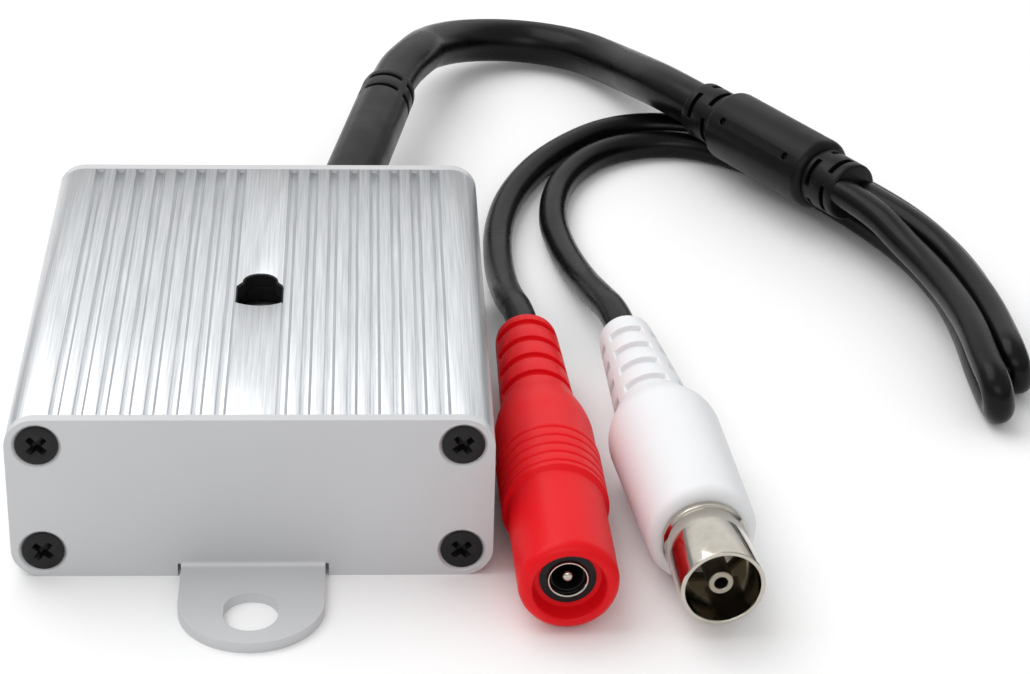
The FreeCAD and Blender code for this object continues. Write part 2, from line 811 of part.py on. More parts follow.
def makeBoot():
    tail = newBody("boot_tail")
    shape = newSketch(tail, "TailShape", "XZ_Plane")
    radius = S.bootDiameter / 2
    drawRectangle(shape, 0, 0, radius, S.bootLength)
    turn(tail, "Revolution", "Tail", shape)
    blend(tail, "Fillet", "TailEnd", 1.1, lambda e: isRing(e, S.bootLength.value, radius.value))
    for i in range(2):
        slotRing(tail, f"BootSlots{i + 1}", S.bootLength - S.slotSetback - i * S.slotSpacing,
                 radius, S.slotDepth, 4, 74, S.slotWidth)
    tail.Placement = Placement(bootPivot, pointing(bootAxis))
    root = newBody("boot_root")
    turned = newSketch(root, "RootShape", "XZ_Plane")
    flange, neck = S.bootFlange / 2, S.bootNeck / 2
    thick = S.bootFlangeThickness
    inside = thick + S.plateThickness
    drawOutline(turned, [
        (0, 0), (flange, 0), (flange, thick), (neck, thick), (neck, inside),
        (flange, inside), (flange, inside + thick * 0.6), (flange - 0.4, inside + thick), (0, inside + thick),
    ])
    turn(root, "Revolution", "Root", turned)
    seat = Vector(S.cableInset.value, half.length.value - thick.value, S.cableHeight.value)
    root.Placement = Placement(seat, pointing(Vector(0, 1, 0)))
    knuckle = doc.addObject("Part::Sphere", "boot_knuckle")
    bind(knuckle, "Radius", radius)
    knuckle.Placement = Placement(bootPivot, Rotation())
    boot = doc.addObject("Part::MultiFuse", "cable_boot")
    boot.Label = "cable_boot"
    boot.Shapes = [root, knuckle, tail]
    doc.recompute()
    return boot


# Moulded joint where the cable splits

def makeJoint():
    body = newBody("cable_splitter")
    shape = newSketch(body, "JointShape", "XZ_Plane")
    relief, radius = S.reliefDiameter / 2, S.jointDiameter / 2
    top = S.reliefLength + S.jointLength
    end = top + S.reliefLength
    drawOutline(shape, [
        (0, 0), (relief, 0), (relief, S.reliefLength), (radius, S.reliefLength),
        (radius, top), (relief, top), (relief, end), (0, end),
    ])
    turn(body, "Revolution", "Joint", shape)
    blend(body, "Fillet", "JointEnds", S.jointRounding * 0.6,
          lambda e: isRing(e, S.reliefLength.value, radius.value) or isRing(e, top.value, radius.value))
    blend(body, "Fillet", "ReliefEnds", 0.4,
          lambda e: isRing(e, 0, relief.value) or isRing(e, end.value, relief.value))
    places = (S.reliefLength * 0.3, S.reliefLength * 0.8,
              top + S.reliefLength * 0.2, top + S.reliefLength * 0.7)
    for i, place in enumerate(places):
        slotRing(body, f"JointSlots{i + 1}", place, relief, S.slotDepth, 4, 62, S.slotWidth)
    for i, sign in enumerate((-1, 1)):
        dimple = newSketch(body, f"Dimple{i + 1}", "XZ_Plane", radius + 0.5)
        height = S.reliefLength + S.jointLength / 2 + sign * S.dimpleSpacing / 2
        drawCircle(dimple, 0, height, S.dimpleDiameter / 2)
        cut = grow(body, "Pocket", f"DimpleCut{i + 1}", dimple, S.dimpleDepth + 0.5)
        aroundAxis(body, f"Dimples{i + 1}", cut, 4)
    body.Placement = Placement(jointStart, pointing(jointAxis).multiply(Rotation(Vector(0, 0, 1), 57 + 90)))
    doc.recompute()
    return body


# Socket overmoulds, turned about their own +Z from the cable end to the mouth

def makeRelief(body, back, end, length, prefix):
    for i in range(int(S.socketSlotCount.value)):
        place = length - (asSize(i) + 0.35) * S.socketSlotPitch
        floor = back / 2 - S.slotDepth / 2
        shape = newSketch(body, f"{prefix}Slot{i + 1}", "XZ_Plane")
        drawRectangle(shape, floor, place - S.socketSlotWidth / 2, end / 2 + 1, place + S.socketSlotWidth / 2)
        cut = turn(body, "Groove", f"{prefix}Cut{i + 1}", shape, 150 if prefix == "Power" else 66)
        pattern = aroundAxis(body, f"{prefix}Ring{i + 1}", cut, 2 if prefix == "Power" else 4)


def makePowerBody():
    body = newBody("power_socket_body")
    shape = newSketch(body, "PowerShape", "XZ_Plane")
    back, end = S.powerBack / 2, S.powerReliefEnd / 2
    full, band, sleeve = S.powerBody / 2, S.powerBand / 2, S.powerSleeve / 2
    bandEnd = S.powerBandStart + S.powerBandLength
    floor = S.powerLength - S.powerRecessDepth
    seat = floor - S.powerBarrelLength - S.fitGap
    hole = S.powerBarrel / 2 + S.fitGap
    drawOutline(shape, [
        (0, 0), (back, 0), (end, S.powerReliefLength), (full, S.powerReliefLength + S.powerShoulder),
        (full, S.powerBandStart), (band, S.powerBandStart), (band, bandEnd), (sleeve, bandEnd + 0.5),
        (sleeve, S.powerLength), (S.powerRecess / 2, S.powerLength), (S.powerRecess / 2 - 0.3, floor),
        (hole, floor), (hole, seat), (0, seat),
    ], {2: (S.powerShoulder * 1.35, 1)})
    turn(body, "Revolution", "PowerMoulding", shape)
    blend(body, "Fillet", "PowerBackEdge", 0.9, lambda e: isRing(e, 0, back.value))
    blend(body, "Fillet", "PowerMouthEdge", S.powerRounding,
          lambda e: isRing(e, S.powerLength.value, sleeve.value))
    ring = newSketch(body, "RingShape", "XZ_Plane")
    place = S.powerBandStart + S.ringPitch / 2
    drawOutline(ring, [(band - S.ringDepth, place), (band + 0.1, place - S.ringDepth),
                       (band + 0.1, place + S.ringDepth)])
    cut = turn(body, "Groove", "RingCut", ring)
    alongAxis(body, "Rings", cut, "Z_Axis", S.ringPitch, S.ringCount)
    makeRelief(body, S.powerBack, S.powerReliefEnd, S.powerReliefLength, "Power")
    body.Placement = powerPlace
    doc.recompute()
    return body


def makeTurned(label, sketchPoints, place):
    body = newBody(label)
    shape = newSketch(body, "TurnedShape", "XZ_Plane")
    drawOutline(shape, sketchPoints)
    turn(body, "Revolution", "Turned", shape)
    body.Placement = place
    doc.recompute()
    return body


def makePowerContacts():
    mouth = S.powerLength - S.powerRecessDepth
    base = mouth - S.powerBarrelLength
    outer = S.powerBarrel / 2
    inner = outer - S.powerBarrelWall
    rim = mouth + 0.4
    barrel = makeTurned("power_socket_barrel", [
        (inner, base), (outer, base), (outer, rim), (inner, rim)], powerPlace)
    lining = inner - S.slideGap
    bore = lining - 0.25
    pin = S.powerPin / 2
    insulator = makeTurned("power_socket_insulator", [
        (pin + S.slideGap, base), (lining, base), (lining, mouth - 0.4), (bore, mouth - 0.4),
        (bore, base + 2), (pin + S.slideGap, base + 2)], powerPlace)
    contact = makeTurned("power_socket_pin", [
        (0, base), (pin, base), (pin, mouth - 0.5), (pin - 0.3, mouth), (0, mouth)], powerPlace)
    return [barrel, insulator, contact]


def makeAudioBody():
    body = newBody("audio_socket_body")
    shape = newSketch(body, "AudioShape", "XZ_Plane")
    back, end = S.audioBack / 2, S.audioReliefEnd / 2
    full, front = S.audioBody / 2, S.audioFront / 2
    hole = S.shellDiameter / 2 - S.shellWall + S.fitGap
    seat = S.audioLength - S.shellTail - S.fitGap
    drawOutline(shape, [
        (0, 0), (back, 0), (end, S.audioReliefLength), (full, S.audioReliefLength + S.audioShoulder),
        (front, S.audioLength), (hole, S.audioLength), (hole, seat), (0, seat),
    ], {2: (S.audioShoulder * 1.25, 1)})
    turn(body, "Revolution", "AudioMoulding", shape)
    blend(body, "Fillet", "AudioBackEdge", 0.9, lambda e: isRing(e, 0, back.value))
    blend(body, "Fillet", "AudioFrontEdge", S.audioRounding * 0.8,
          lambda e: isRing(e, S.audioLength.value, front.value))
    makeRelief(body, S.audioBack, S.audioReliefEnd, S.audioReliefLength, "Audio")
    body.Placement = audioPlace
    doc.recompute()
    return body


def makeAudioContacts():
    base = S.audioLength
    tail = base - S.shellTail
    mouth = base + S.shellBaseLength + S.shellLength
    outer = S.shellDiameter / 2
    inner = outer - S.shellWall
    wide = S.shellBase / 2
    shell = newBody("audio_socket_shell")
    shape = newSketch(shell, "ShellShape", "XZ_Plane")
    floor = base + S.shellBaseLength / 2
    passage = S.contactDiameter / 2 + 1.2
    drawOutline(shape, [
        (passage, tail), (inner, tail), (inner, base), (wide, base), (wide, base + S.shellBaseLength),
        (outer, base + S.shellBaseLength), (outer, mouth), (inner, mouth), (inner, floor), (passage, floor),
    ])
    turn(shell, "Revolution", "Shell", shape)
    flats = newSketch(shell, "FlatShape", "XY_Plane", base + S.shellBaseLength)
    drawRectangle(flats, outer, -1.5, outer + 1, 1.5)
    cut = grow(shell, "Pocket", "Flat", flats, S.shellBaseLength * 0.7)
    mirrored(shell, "Flats", [cut], "YZ_Plane")
    shell.Placement = audioPlace
    doc.recompute()
    core, bore = S.contactDiameter / 2, S.contactBore / 2
    washer = passage - S.slideGap
    insulator = makeTurned("audio_socket_insulator", [
        (core + S.slideGap, tail), (washer, tail), (washer, floor + 0.6), (core + S.slideGap, floor + 0.6)],
        audioPlace)
    contact = makeTurned("audio_socket_contact", [
        (0, tail), (core, tail), (core, mouth - 1), (bore, mouth - 1), (bore, floor + 1), (0, floor + 1)],
        audioPlace)
    return [shell, insulator, contact]


# Places shared by pieces that meet
capsuleBase = boardTop + S.capsuleUnder
bootAxis = Vector(math.sin(math.radians(S.bootLean.value)), math.cos(math.radians(S.bootLean.value)), 0)
bootPivot = Vector(S.cableInset.value, frontFace.value + S.bootFlangeThickness.value, S.cableHeight.value)
bootEnd = bootPivot + bootAxis * S.bootLength.value

jointStart = Vector(57.3, 70.8, S.jointHeight.value)
jointAxis = Vector(0.535, -0.845, 0).normalize()
jointEnd = jointStart + jointAxis * (S.jointLength.value + 2 * S.reliefLength.value)
jointAcross = Vector(-jointAxis.y, jointAxis.x, 0)

powerStart = Vector(30.35, 10.8, S.powerBand.value / 2)
powerAxis = Vector(0.036, -1, 0).normalize()
# a quarter turn brings the long slots of the relief to its top and underside
powerPlace = Placement(powerStart, pointing(powerAxis).multiply(Rotation(Vector(0, 0, 1), 90)))
audioStart = Vector(41.9, 10.3, S.audioBody.value / 2)
audioAxis = Vector(0.109, -1, 0).normalize()
audioPlace = Placement(audioStart, pointing(audioAxis))

# Routes: the first and last runs follow the moulding that they leave or enter
low = S.tailDiameter.value / 2 + 0.05
mainRoute = [
    bootEnd, bootEnd + bootAxis * 6,
    (18.6, 86.6, 9.0), (20.6, 94.6, 7.0), (25.6, 102.4, 4.8), (34.0, 105.4, 3.6), (42.4, 102.0, 3.6),
    (47.4, 94.3, 4.4), (50.0, 86.0, 6.4), jointStart - jointAxis * 8, jointStart,
]
powerExit = jointEnd + jointAcross * (S.tailSpacing.value / 2)
powerRoute = [
    powerExit, powerExit + jointAxis * 6,
    (82.7, 35.7, 6.9), (84.9, 30.6, 6.1), (86.1, 24.4, 5.7), (86.7, 17.8, 6.0), (87.0, 13.0, 7.2),
    (87.1, 5.6, 8.8), (88.6, 5.6, low), (88.5, 14.0, low), (88.5, 22.6, low), (88.1, 31.2, low),
    (86.4, 40.6, low), (83.0, 49.4, low), (78.6, 57.2, low), (72.9, 65.2, low), (66.1, 72.6, low),
    (57.2, 79.1, low), (46.2, 78.9, low), (37.2, 70.4, low), (31.4, 59.5, low), (28.6, 48.0, low),
    (28.2, 36.0, low + 0.2), (28.8, 25.0, 3.8), powerStart - powerAxis * 6, powerStart,
]
audioExit = jointEnd - jointAcross * (S.tailSpacing.value / 2)
audioRoute = [
    audioExit, audioExit + jointAxis * 6,
    (79.0, 32.4, 6.8), (81.0, 27.0, 6.1), (82.3, 20.8, 5.8), (82.8, 14.2, 6.3), (82.8, 7.0, 7.5),
    (83.1, -0.9, 9.2), (84.6, -1.2, low), (84.2, 7.6, low), (84.5, 17.6, low), (84.2, 27.2, low),
    (82.3, 36.6, low), (78.8, 45.2, low), (74.3, 53.2, low), (69.2, 61.2, low), (62.9, 68.9, low),
    (54.2, 73.9, low), (44.1, 71.2, low), (37.8, 62.3, low), (35.6, 50.8, low), (36.6, 40.6, low),
    (38.5, 30.6, 2.9), (40.0, 22.0, 5.0), audioStart - audioAxis * 6, audioStart,
]


def leadRoute(x, rise):
    # short wire from the root of the boot down into its pad on the board
    start = (S.cableInset.value + x * 0.6, half.length.value - S.bootFlangeThickness.value,
             S.cableHeight.value + rise)
    pad = (S.cableInset.value + x, S.boardLength.value / 2 - 3, boardTop.value)
    return [start, (start[0], start[1] - 2.4, start[2]), (pad[0], pad[1] + 0.3, start[2] - 0.1),
            (pad[0], pad[1], start[2] - 0.6), pad]


def build():
    parts = [makeProfile(), makePlate("front_end_plate", False), makePlate("rear_end_plate", True)]
    screw = makeScrew()
    parts.append(placeScrews("front_plate_screws", screw, -1, (45, 38, 52, 41)))
    parts.append(placeScrews("rear_plate_screws", screw, 1, (20, 64, 33, 48)))
    parts += [makeBoard(), makeCapsule(), makeSleeve(), makeChip()]
    upright = Rotation()
    small = makeCan("small_can_pattern", S.smallCapacitor, headroom - S.smallCapacitorClear)
    parts.append(makeGroup("coupling_capacitors", small,
                           [(onBoard(x, y), upright) for x, y in ((-14, -8), (-14, -16), (12, -4))]))
    large = makeCan("supply_capacitor", S.largeCapacitor, headroom - S.largeCapacitorClear)
    large.Placement = Placement(onBoard(14, 5.5), upright)
    parts.append(large)
    parts += [makeRegulator(), makeTrimmer()]
    resistor = makeResistor()
    lying = pointing(Vector(1, 0, 0))
    rest = Vector(0, 0, S.resistorDiameter.value / 2)
    parts.append(makeGroup("board_resistors", resistor,
                           [(onBoard(x, y) + rest, lying) for x, y in
                            ((-8, -6), (-8, -10), (-8, -14), (2, 14), (2, 18), (-5, 18))]))
    leads = (("power_lead_wire", -2.6, -0.4), ("audio_lead_wire", 0, 0.8), ("ground_lead_wire", 2.6, -0.4))
    for name, x, rise in leads:
        parts.append(makeCord(name, leadRoute(x, rise), S.leadDiameter.value))
    parts += [makeBoot(), makeJoint(), makePowerBody()] + makePowerContacts()
    parts += [makeAudioBody()] + makeAudioContacts()
    parts.append(makeCord("main_cable", mainRoute, S.mainDiameter.value))
    parts.append(makeCord("power_tail_cable", powerRoute, S.tailDiameter.value))
    parts.append(makeCord("audio_tail_cable", audioRoute, S.tailDiameter.value))
    return parts


parts = build()
doc.recompute()

for item in doc.Objects:
    if "Invalid" in item.State or "Error" in item.State:
        raise ValueError(f"{item.Label}: {item.State}")
for part in parts:
    if part.Shape.isNull() or not part.Shape.isValid():
        raise ValueError(f"{part.Label}: bad shape")

os.makedirs("parts", exist_ok=True)
for part in parts:
    part.Shape.exportStep(f"parts/{part.Label}.step")
print(f"{len(parts)} parts written")
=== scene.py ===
import math
import bpy
import bmesh
from mathutils import Matrix, Vector


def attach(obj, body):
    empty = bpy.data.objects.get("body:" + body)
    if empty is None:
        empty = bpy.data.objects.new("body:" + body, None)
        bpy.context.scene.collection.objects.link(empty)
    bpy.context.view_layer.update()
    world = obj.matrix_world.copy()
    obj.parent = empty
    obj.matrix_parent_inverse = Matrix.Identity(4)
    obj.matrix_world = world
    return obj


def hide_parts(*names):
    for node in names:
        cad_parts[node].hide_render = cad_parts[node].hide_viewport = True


# Surveillance microphone lying on a pale floor with its lead looped beside it.
# Lengths are written in millimetres and multiplied by mm.

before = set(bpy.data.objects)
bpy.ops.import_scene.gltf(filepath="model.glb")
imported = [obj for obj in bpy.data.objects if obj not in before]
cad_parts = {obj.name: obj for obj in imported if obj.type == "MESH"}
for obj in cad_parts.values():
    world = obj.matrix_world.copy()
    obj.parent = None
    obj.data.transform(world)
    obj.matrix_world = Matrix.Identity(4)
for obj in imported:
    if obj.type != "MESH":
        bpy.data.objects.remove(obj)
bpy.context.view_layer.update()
mm = 0.001
up = Vector((0, 0, 1))


# Camera, fitted to the photograph's own perspective

camera = {
    "place": (11.891, -275.693, 163.643),
    "yaw": -3.4384,
    "down": 28.797,
    "roll": 1.6635,
    "focal": 2801.86,
    "imageWidth": 1030,
    "sensor": 36.0,
}


def makeCamera(c):
    bpy.ops.object.camera_add()
    shot = bpy.context.object
    turned = Matrix.Rotation(math.radians(c["yaw"]), 4, "Z")
    turned = turned @ Matrix.Rotation(math.radians(90 - c["down"]), 4, "X")
    turned = turned @ Matrix.Rotation(math.radians(c["roll"]), 4, "Z")
    shot.matrix_world = Matrix.Translation(Vector(c["place"]) * mm) @ turned
    shot.data.sensor_width = c["sensor"]
    shot.data.lens = c["focal"] * c["sensor"] / c["imageWidth"]
    shot.data.clip_start = 0.01
    bpy.context.scene.camera = shot


makeCamera(camera)


# Cords: the routes of part.py, each one smooth spline

boot = {
    "pivot": (7.4, 31.8, 9.4),
    "lean": 10.07,
    "length": 42.5,
    "diameter": 7.3,
    "knuckle": 8.6,
    "rounding": 1.1,
    "flange": 10.2,
    "flangeThickness": 1.6,
    "neck": 8.0,
    "plate": 1.2,
    "slots": [(36.5, 0.8), (39.9, 0.8)],
    "slotDepth": 0.75,
    "arc": 74,
}
leanAngle = math.radians(boot["lean"])
bootAxis = Vector((math.sin(leanAngle), math.cos(leanAngle), 0))
bootPivot = Vector(boot["pivot"])
bootEnd = bootPivot + bootAxis * boot["length"]

splitter = {
    "start": (57.3, 70.8, 8.2),
    "axis": (0.535, -0.845, 0),
    "reliefLength": 5.7,
    "length": 19.4,
    "relief": 7.6,
    "diameter": 9.5,
    "rounding": 1.2,
    "turned": 147,
    "slotWidth": 0.8,
    "slotDepth": 0.75,
    "arc": 62,
    "dimple": 1.0,
    "dimpleDepth": 0.6,
    "dimpleSpacing": 12.7,
}
splitStart = Vector(splitter["start"])
splitAxis = Vector(splitter["axis"]).normalized()
splitAcross = Vector((-splitAxis.y, splitAxis.x, 0))
splitEnd = splitStart + splitAxis * (splitter["length"] + 2 * splitter["reliefLength"])

cable = {"main": 6.2, "tail": 3.7, "exitAcross": 1.8, "exitUp": 0.6, "clear": 0.05}
low = cable["tail"] / 2 + cable["clear"]

powerSocket = {
    "start": (30.35, 10.8, 5.7),
    "axis": (0.036, -1, 0),
    "back": 7.2,
    "reliefEnd": 8.4,
    "reliefLength": 16.7,
    "shoulder": 7.2,
    "body": 11.0,
    "bandStart": 28.8,
    "band": 11.4,
    "bandLength": 8.6,
    "sleeve": 10.4,
    "length": 52.3,
    "mouthEdge": 1.3,
    "recess": 7.5,
    "recessDepth": 2.0,
    "barrel": 4.2,
    "barrelWall": 0.2,
    "barrelLength": 12.0,
    "pin": 1.3,
    "ringPitch": 1.72,
    "ringCount": 5,
    "ringDepth": 0.26,
    "slotCount": 4,
    "slotPitch": 4.2,
    "slotWidth": 1.3,
    "slotDepth": 0.5,
    "arc": 150,
}
powerStart = Vector(powerSocket["start"])
powerAxis = Vector(powerSocket["axis"]).normalized()

audioSocket = {
    "start": (41.9, 10.3, 6.25),
    "axis": (0.109, -1, 0),
    "back": 6.3,
    "reliefEnd": 8.8,
    "reliefLength": 18.4,
    "shoulder": 5.4,
    "body": 12.5,
    "front": 11.7,
    "length": 43.4,
    "rounding": 1.2,
    "slotCount": 4,
    "slotPitch": 4.2,
    "slotWidth": 1.5,
    "slotDepth": 0.65,
    "arc": 70,
    "turned": 16,
    "shellBase": 9.0,
    "shellBaseLength": 1.2,
    "shell": 8.8,
    "shellLength": 8.4,
    "shellWall": 0.5,
    "shellTail": 7.0,
    "contact": 2.6,
    "contactBore": 1.4,
}
audioStart = Vector(audioSocket["start"])
audioAxis = Vector(audioSocket["axis"]).normalized()

mainRoute = [
    bootEnd, bootEnd + bootAxis * 6,
    (18.6, 86.6, 9.0), (20.6, 94.6, 7.0), (25.6, 102.4, 4.8), (34.0, 105.4, 3.6), (42.4, 102.0, 3.6),
    (47.4, 94.3, 4.4), (50.0, 86.0, 6.4), splitStart - splitAxis * 8, splitStart,
]
powerExit = splitEnd + splitAcross * cable["exitAcross"] - up * cable["exitUp"]
powerRoute = [
    powerExit, powerExit + splitAxis * 6,
    (82.3, 35.7, 6.6), (84.6, 30.2, 5.9), (85.9, 24.4, 5.7), (86.6, 18.8, 5.7), (86.9, 13.4, 5.7),
    (87.0, 6.2, 5.9), (88.3, 6.2, low), (88.35, 13.0, low), (88.4, 21.0, low), (88.1, 28.5, low),
    (87.4, 34.5, low), (85.8, 41.5, low), (83.0, 49.4, low), (78.6, 57.2, low), (72.9, 65.2, low),
    (66.1, 72.6, low), (57.2, 79.1, low), (46.2, 78.9, low), (37.2, 70.4, low), (31.4, 59.5, low),
    (28.6, 48.0, low), (28.2, 36.0, low + 0.2), (28.8, 25.0, 3.8), powerStart - powerAxis * 6, powerStart,
]
audioExit = splitEnd - splitAcross * cable["exitAcross"] + up * cable["exitUp"]
audioRoute = [
    audioExit, audioExit + splitAxis * 6,
    (78.5, 32.6, 7.2), (80.6, 27.0, 6.7), (82.1, 20.8, 6.6), (82.9, 14.8, 6.7), (83.2, 9.6, 6.7),
    (83.3, 4.6, 6.4), (83.8, -0.7, 5.8), (84.6, -0.5, low), (84.3, 5.2, low), (84.25, 11.4, low),
    (84.4, 17.4, low), (84.2, 23.6, low), (83.4, 30.2, low), (81.5, 37.8, low), (78.6, 45.2, low),
    (74.3, 53.2, low), (69.2, 61.2, low), (62.9, 68.9, low), (54.2, 73.9, low), (44.1, 71.2, low),
    (37.8, 62.3, low), (35.6, 50.8, low), (36.6, 40.6, low), (38.5, 30.6, 2.9), (40.0, 22.0, 5.0),
    audioStart - audioAxis * 6, audioStart,
]


def makeCord(name, route, diameter, node):
    line = bpy.data.curves.new(name, "CURVE")
    line.dimensions = "3D"
    line.bevel_depth = 1
    line.bevel_resolution = 8
    line.resolution_u = 16
    line.use_fill_caps = True
    spline = line.splines.new("NURBS")
    spline.points.add(len(route) - 1)
    for point, place in zip(spline.points, route):
        point.co = (*(Vector(place) * mm), 1)
        point.radius = diameter / 2 * mm
    spline.order_u = 3
    spline.use_endpoint_u = True
    cord = bpy.data.objects.new(name, line)
    bpy.context.collection.objects.link(cord)
    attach(cord, "root")
    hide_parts(node)
    return cord


mainCable = makeCord("mainCable", mainRoute, cable["main"], "main_cable")
powerTail = makeCord("powerTail", powerRoute, cable["tail"], "power_tail_cable")
audioTail = makeCord("audioTail", audioRoute, cable["tail"], "audio_tail_cable")
print("camera and cords made")


# Modelling helpers

def clearSelection():
    if bpy.context.object and bpy.context.object.mode != "OBJECT":
        bpy.ops.object.mode_set(mode="OBJECT")
    bpy.ops.object.select_all(action="DESELECT")


def pick(*things):
    clearSelection()
    for thing in things:
        thing.select_set(True)
    bpy.context.view_layer.objects.active = things[0]


def addBox(name, lowCorner, highCorner):
    clearSelection()
    a, b = Vector(lowCorner) * mm, Vector(highCorner) * mm
    bpy.ops.mesh.primitive_cube_add(size=1, location=(a + b) / 2, scale=b - a)
    bpy.ops.object.transform_apply(location=True, rotation=True, scale=True)
    bpy.context.object.name = name
    return bpy.context.object


def addDisc(name, radius, z, vertices=96):
    clearSelection()
    bpy.ops.mesh.primitive_circle_add(vertices=vertices, radius=radius * mm, fill_type="NGON", location=(0, 0, z * mm))
    bpy.ops.object.transform_apply(location=True, rotation=True, scale=True)
    bpy.context.object.name = name
    return bpy.context.object


def editOf(piece, mode="FACE"):
    # opens the piece for editing with nothing selected
    pick(piece)
    bpy.ops.object.mode_set(mode="EDIT")
    bpy.ops.mesh.select_mode(type=mode)
    bpy.ops.mesh.select_all(action="DESELECT")


def selectFaces(piece, wanted):
    # the test is given a face's middle, in millimetres, and its normal
    mesh = bmesh.from_edit_mesh(piece.data)
    count = 0
    for face in mesh.faces:
        keep = wanted(face.calc_center_median() / mm, face.normal)
        face.select_set(keep)
        count += keep
    mesh.select_flush(True)
    bmesh.update_edit_mesh(piece.data)
    return count


def selectEdges(piece, wanted):
    # the test is given an edge's two ends, in millimetres
    mesh = bmesh.from_edit_mesh(piece.data)
    for edge in mesh.edges:
        a, b = (v.co / mm for v in edge.verts)
        edge.select_set(wanted(a, b))
    bmesh.update_edit_mesh(piece.data)


def along(a, b, axis):
    # true where the run from a to b goes along that axis, 0 to 2
    d = b - a
    return abs(d[axis]) > 0.999 * d.length


def tidyFaces(piece):
    editOf(piece)
    bpy.ops.mesh.select_all(action="SELECT")
    bpy.ops.mesh.remove_doubles(threshold=0.002 * mm)
    bpy.ops.mesh.normals_make_consistent(inside=False)
    bpy.ops.object.mode_set(mode="OBJECT")


def turnPiece(name, profile, vertices=96):
    # (radius, height) pairs from the first cap to the last, each ring extruded from the one before
    radius, z = profile[0]
    piece = addDisc(name, radius, z, vertices)
    editOf(piece)
    bpy.ops.mesh.select_all(action="SELECT")
    for nextRadius, nextZ in profile[1:]:
        bpy.ops.mesh.extrude_region_move(TRANSFORM_OT_translate={"value": (0, 0, (nextZ - z) * mm)})
        k = nextRadius / radius
        bpy.ops.transform.resize(value=(k, k, 1), center_override=(0, 0, nextZ * mm))
        radius, z = nextRadius, nextZ
    bpy.ops.object.mode_set(mode="OBJECT")
    tidyFaces(piece)
    return piece


def sinkSlots(piece, low, high, arc, copies, phase, scale):
    # the wall between two heights, inside evenly spaced arcs, is extruded towards the axis
    def inSlot(middle, normal):
        if not low - 0.01 < middle.z < high + 0.01 or abs(normal.z) > 0.8:
            return False
        angle = math.degrees(math.atan2(middle.y, middle.x)) - phase
        step = 360 / copies
        return abs((angle + step / 2) % step - step / 2) < arc / 2
    editOf(piece)
    if not selectFaces(piece, inSlot):
        raise ValueError(f"{piece.name}: no wall from {low} to {high}")
    bpy.ops.mesh.extrude_region_move()
    bpy.ops.transform.resize(value=(scale, scale, 1), center_override=(0, 0, 0))
    bpy.ops.object.mode_set(mode="OBJECT")


def applyModifier(piece, kind, **settings):
    pick(piece)
    modifier = piece.modifiers.new(kind.title(), kind)
    for name, value in settings.items():
        setattr(modifier, name, value)
    bpy.ops.object.modifier_apply(modifier=modifier.name)


def cutAway(piece, cutter, operation="DIFFERENCE"):
    applyModifier(piece, "BOOLEAN", object=cutter, operation=operation, solver="EXACT")
    bpy.data.objects.remove(cutter)


def softenEdges(piece, width, segments=2, angle=30):
    applyModifier(piece, "BEVEL", width=width * mm, segments=segments, limit_method="ANGLE",
                  angle_limit=math.radians(angle), use_clamp_overlap=True, miter_outer="MITER_SHARP")


def placed(direction, origin, turned=0):
    # own +Z along the direction, own +Y upwards, then turned about its own axis
    z = Vector(direction).normalized()
    x = up.cross(z).normalized()
    y = z.cross(x)
    basis = Matrix((x, y, z)).transposed().to_4x4()
    return Matrix.Translation(Vector(origin) * mm) @ basis @ Matrix.Rotation(math.radians(turned), 4, "Z")


def putAt(piece, place):
    piece.matrix_world = place
    pick(piece)
    bpy.ops.object.transform_apply(location=True, rotation=True, scale=True)


def copyOf(piece, name, move=None):
    twin = piece.copy()
    twin.data = piece.data.copy()
    twin.name = name
    bpy.context.collection.objects.link(twin)
    if move is not None:
        putAt(twin, move)
    return twin


def joined(pieces):
    pick(*pieces)
    if len(pieces) > 1:
        bpy.ops.object.join()
    return bpy.context.object


def finish(piece, material, slot, *nodes, smooth=35):
    pick(piece)
    bpy.ops.object.shade_smooth_by_angle(angle=math.radians(smooth))
    piece.data.materials.clear()
    piece.data.materials.append(material)
    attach(piece, "root")
    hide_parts(*nodes)
    return piece


# Materials

def linear(code):
    # sRGB hex to linear
    parts = [int(code[i:i + 2], 16) / 255 for i in (1, 3, 5)]
    return tuple(c / 12.92 if c <= 0.04045 else ((c + 0.055) / 1.055) ** 2.4 for c in parts) + (1.0,)


def addNode(tree, kind, settings=None, links=None):
    # settings name a property or an input's name or number, links name the inputs to join
    made = tree.nodes.new(kind)
    for name, value in (settings or {}).items():
        if isinstance(name, int) or name in made.inputs:
            made.inputs[name].default_value = value
        else:
            setattr(made, name, value)
    for name, source in (links or {}).items():
        tree.links.new(source, made.inputs[name])
    return made


def newMaterial(name, shader):
    material = bpy.data.materials.new(name)
    material.use_nodes = True
    tree = material.node_tree
    tree.nodes.clear()
    surface = addNode(tree, "ShaderNodeBsdfPrincipled", shader)
    addNode(tree, "ShaderNodeOutputMaterial", links={"Surface": surface.outputs[0]})
    place = addNode(tree, "ShaderNodeTexCoord")
    return material, tree, surface, place.outputs["Object"]


def grain(tree, place, sizes, detail=2.0, roughness=0.5):
    # noise whose cells have these sizes in millimetres along x, y and z
    stretch = addNode(tree, "ShaderNodeMapping", {"Scale": tuple(1 / (s * mm) for s in sizes)}, {"Vector": place})
    noise = addNode(tree, "ShaderNodeTexNoise", {"Scale": 1.0, "Detail": detail, "Roughness": roughness},
                    {"Vector": stretch.outputs[0]})
    return noise.outputs["Fac"]


def levels(tree, value, fromLow, fromHigh, toLow, toHigh):
    ramp = addNode(tree, "ShaderNodeMapRange",
                   {"From Min": fromLow, "From Max": fromHigh, "To Min": toLow, "To Max": toHigh}, {"Value": value})
    return ramp.outputs[0]


def twoColours(tree, factor, dark, light):
    mix = addNode(tree, "ShaderNodeMix", {"data_type": "RGBA", 6: linear(dark), 7: linear(light)}, {0: factor})
    return mix.outputs[2]


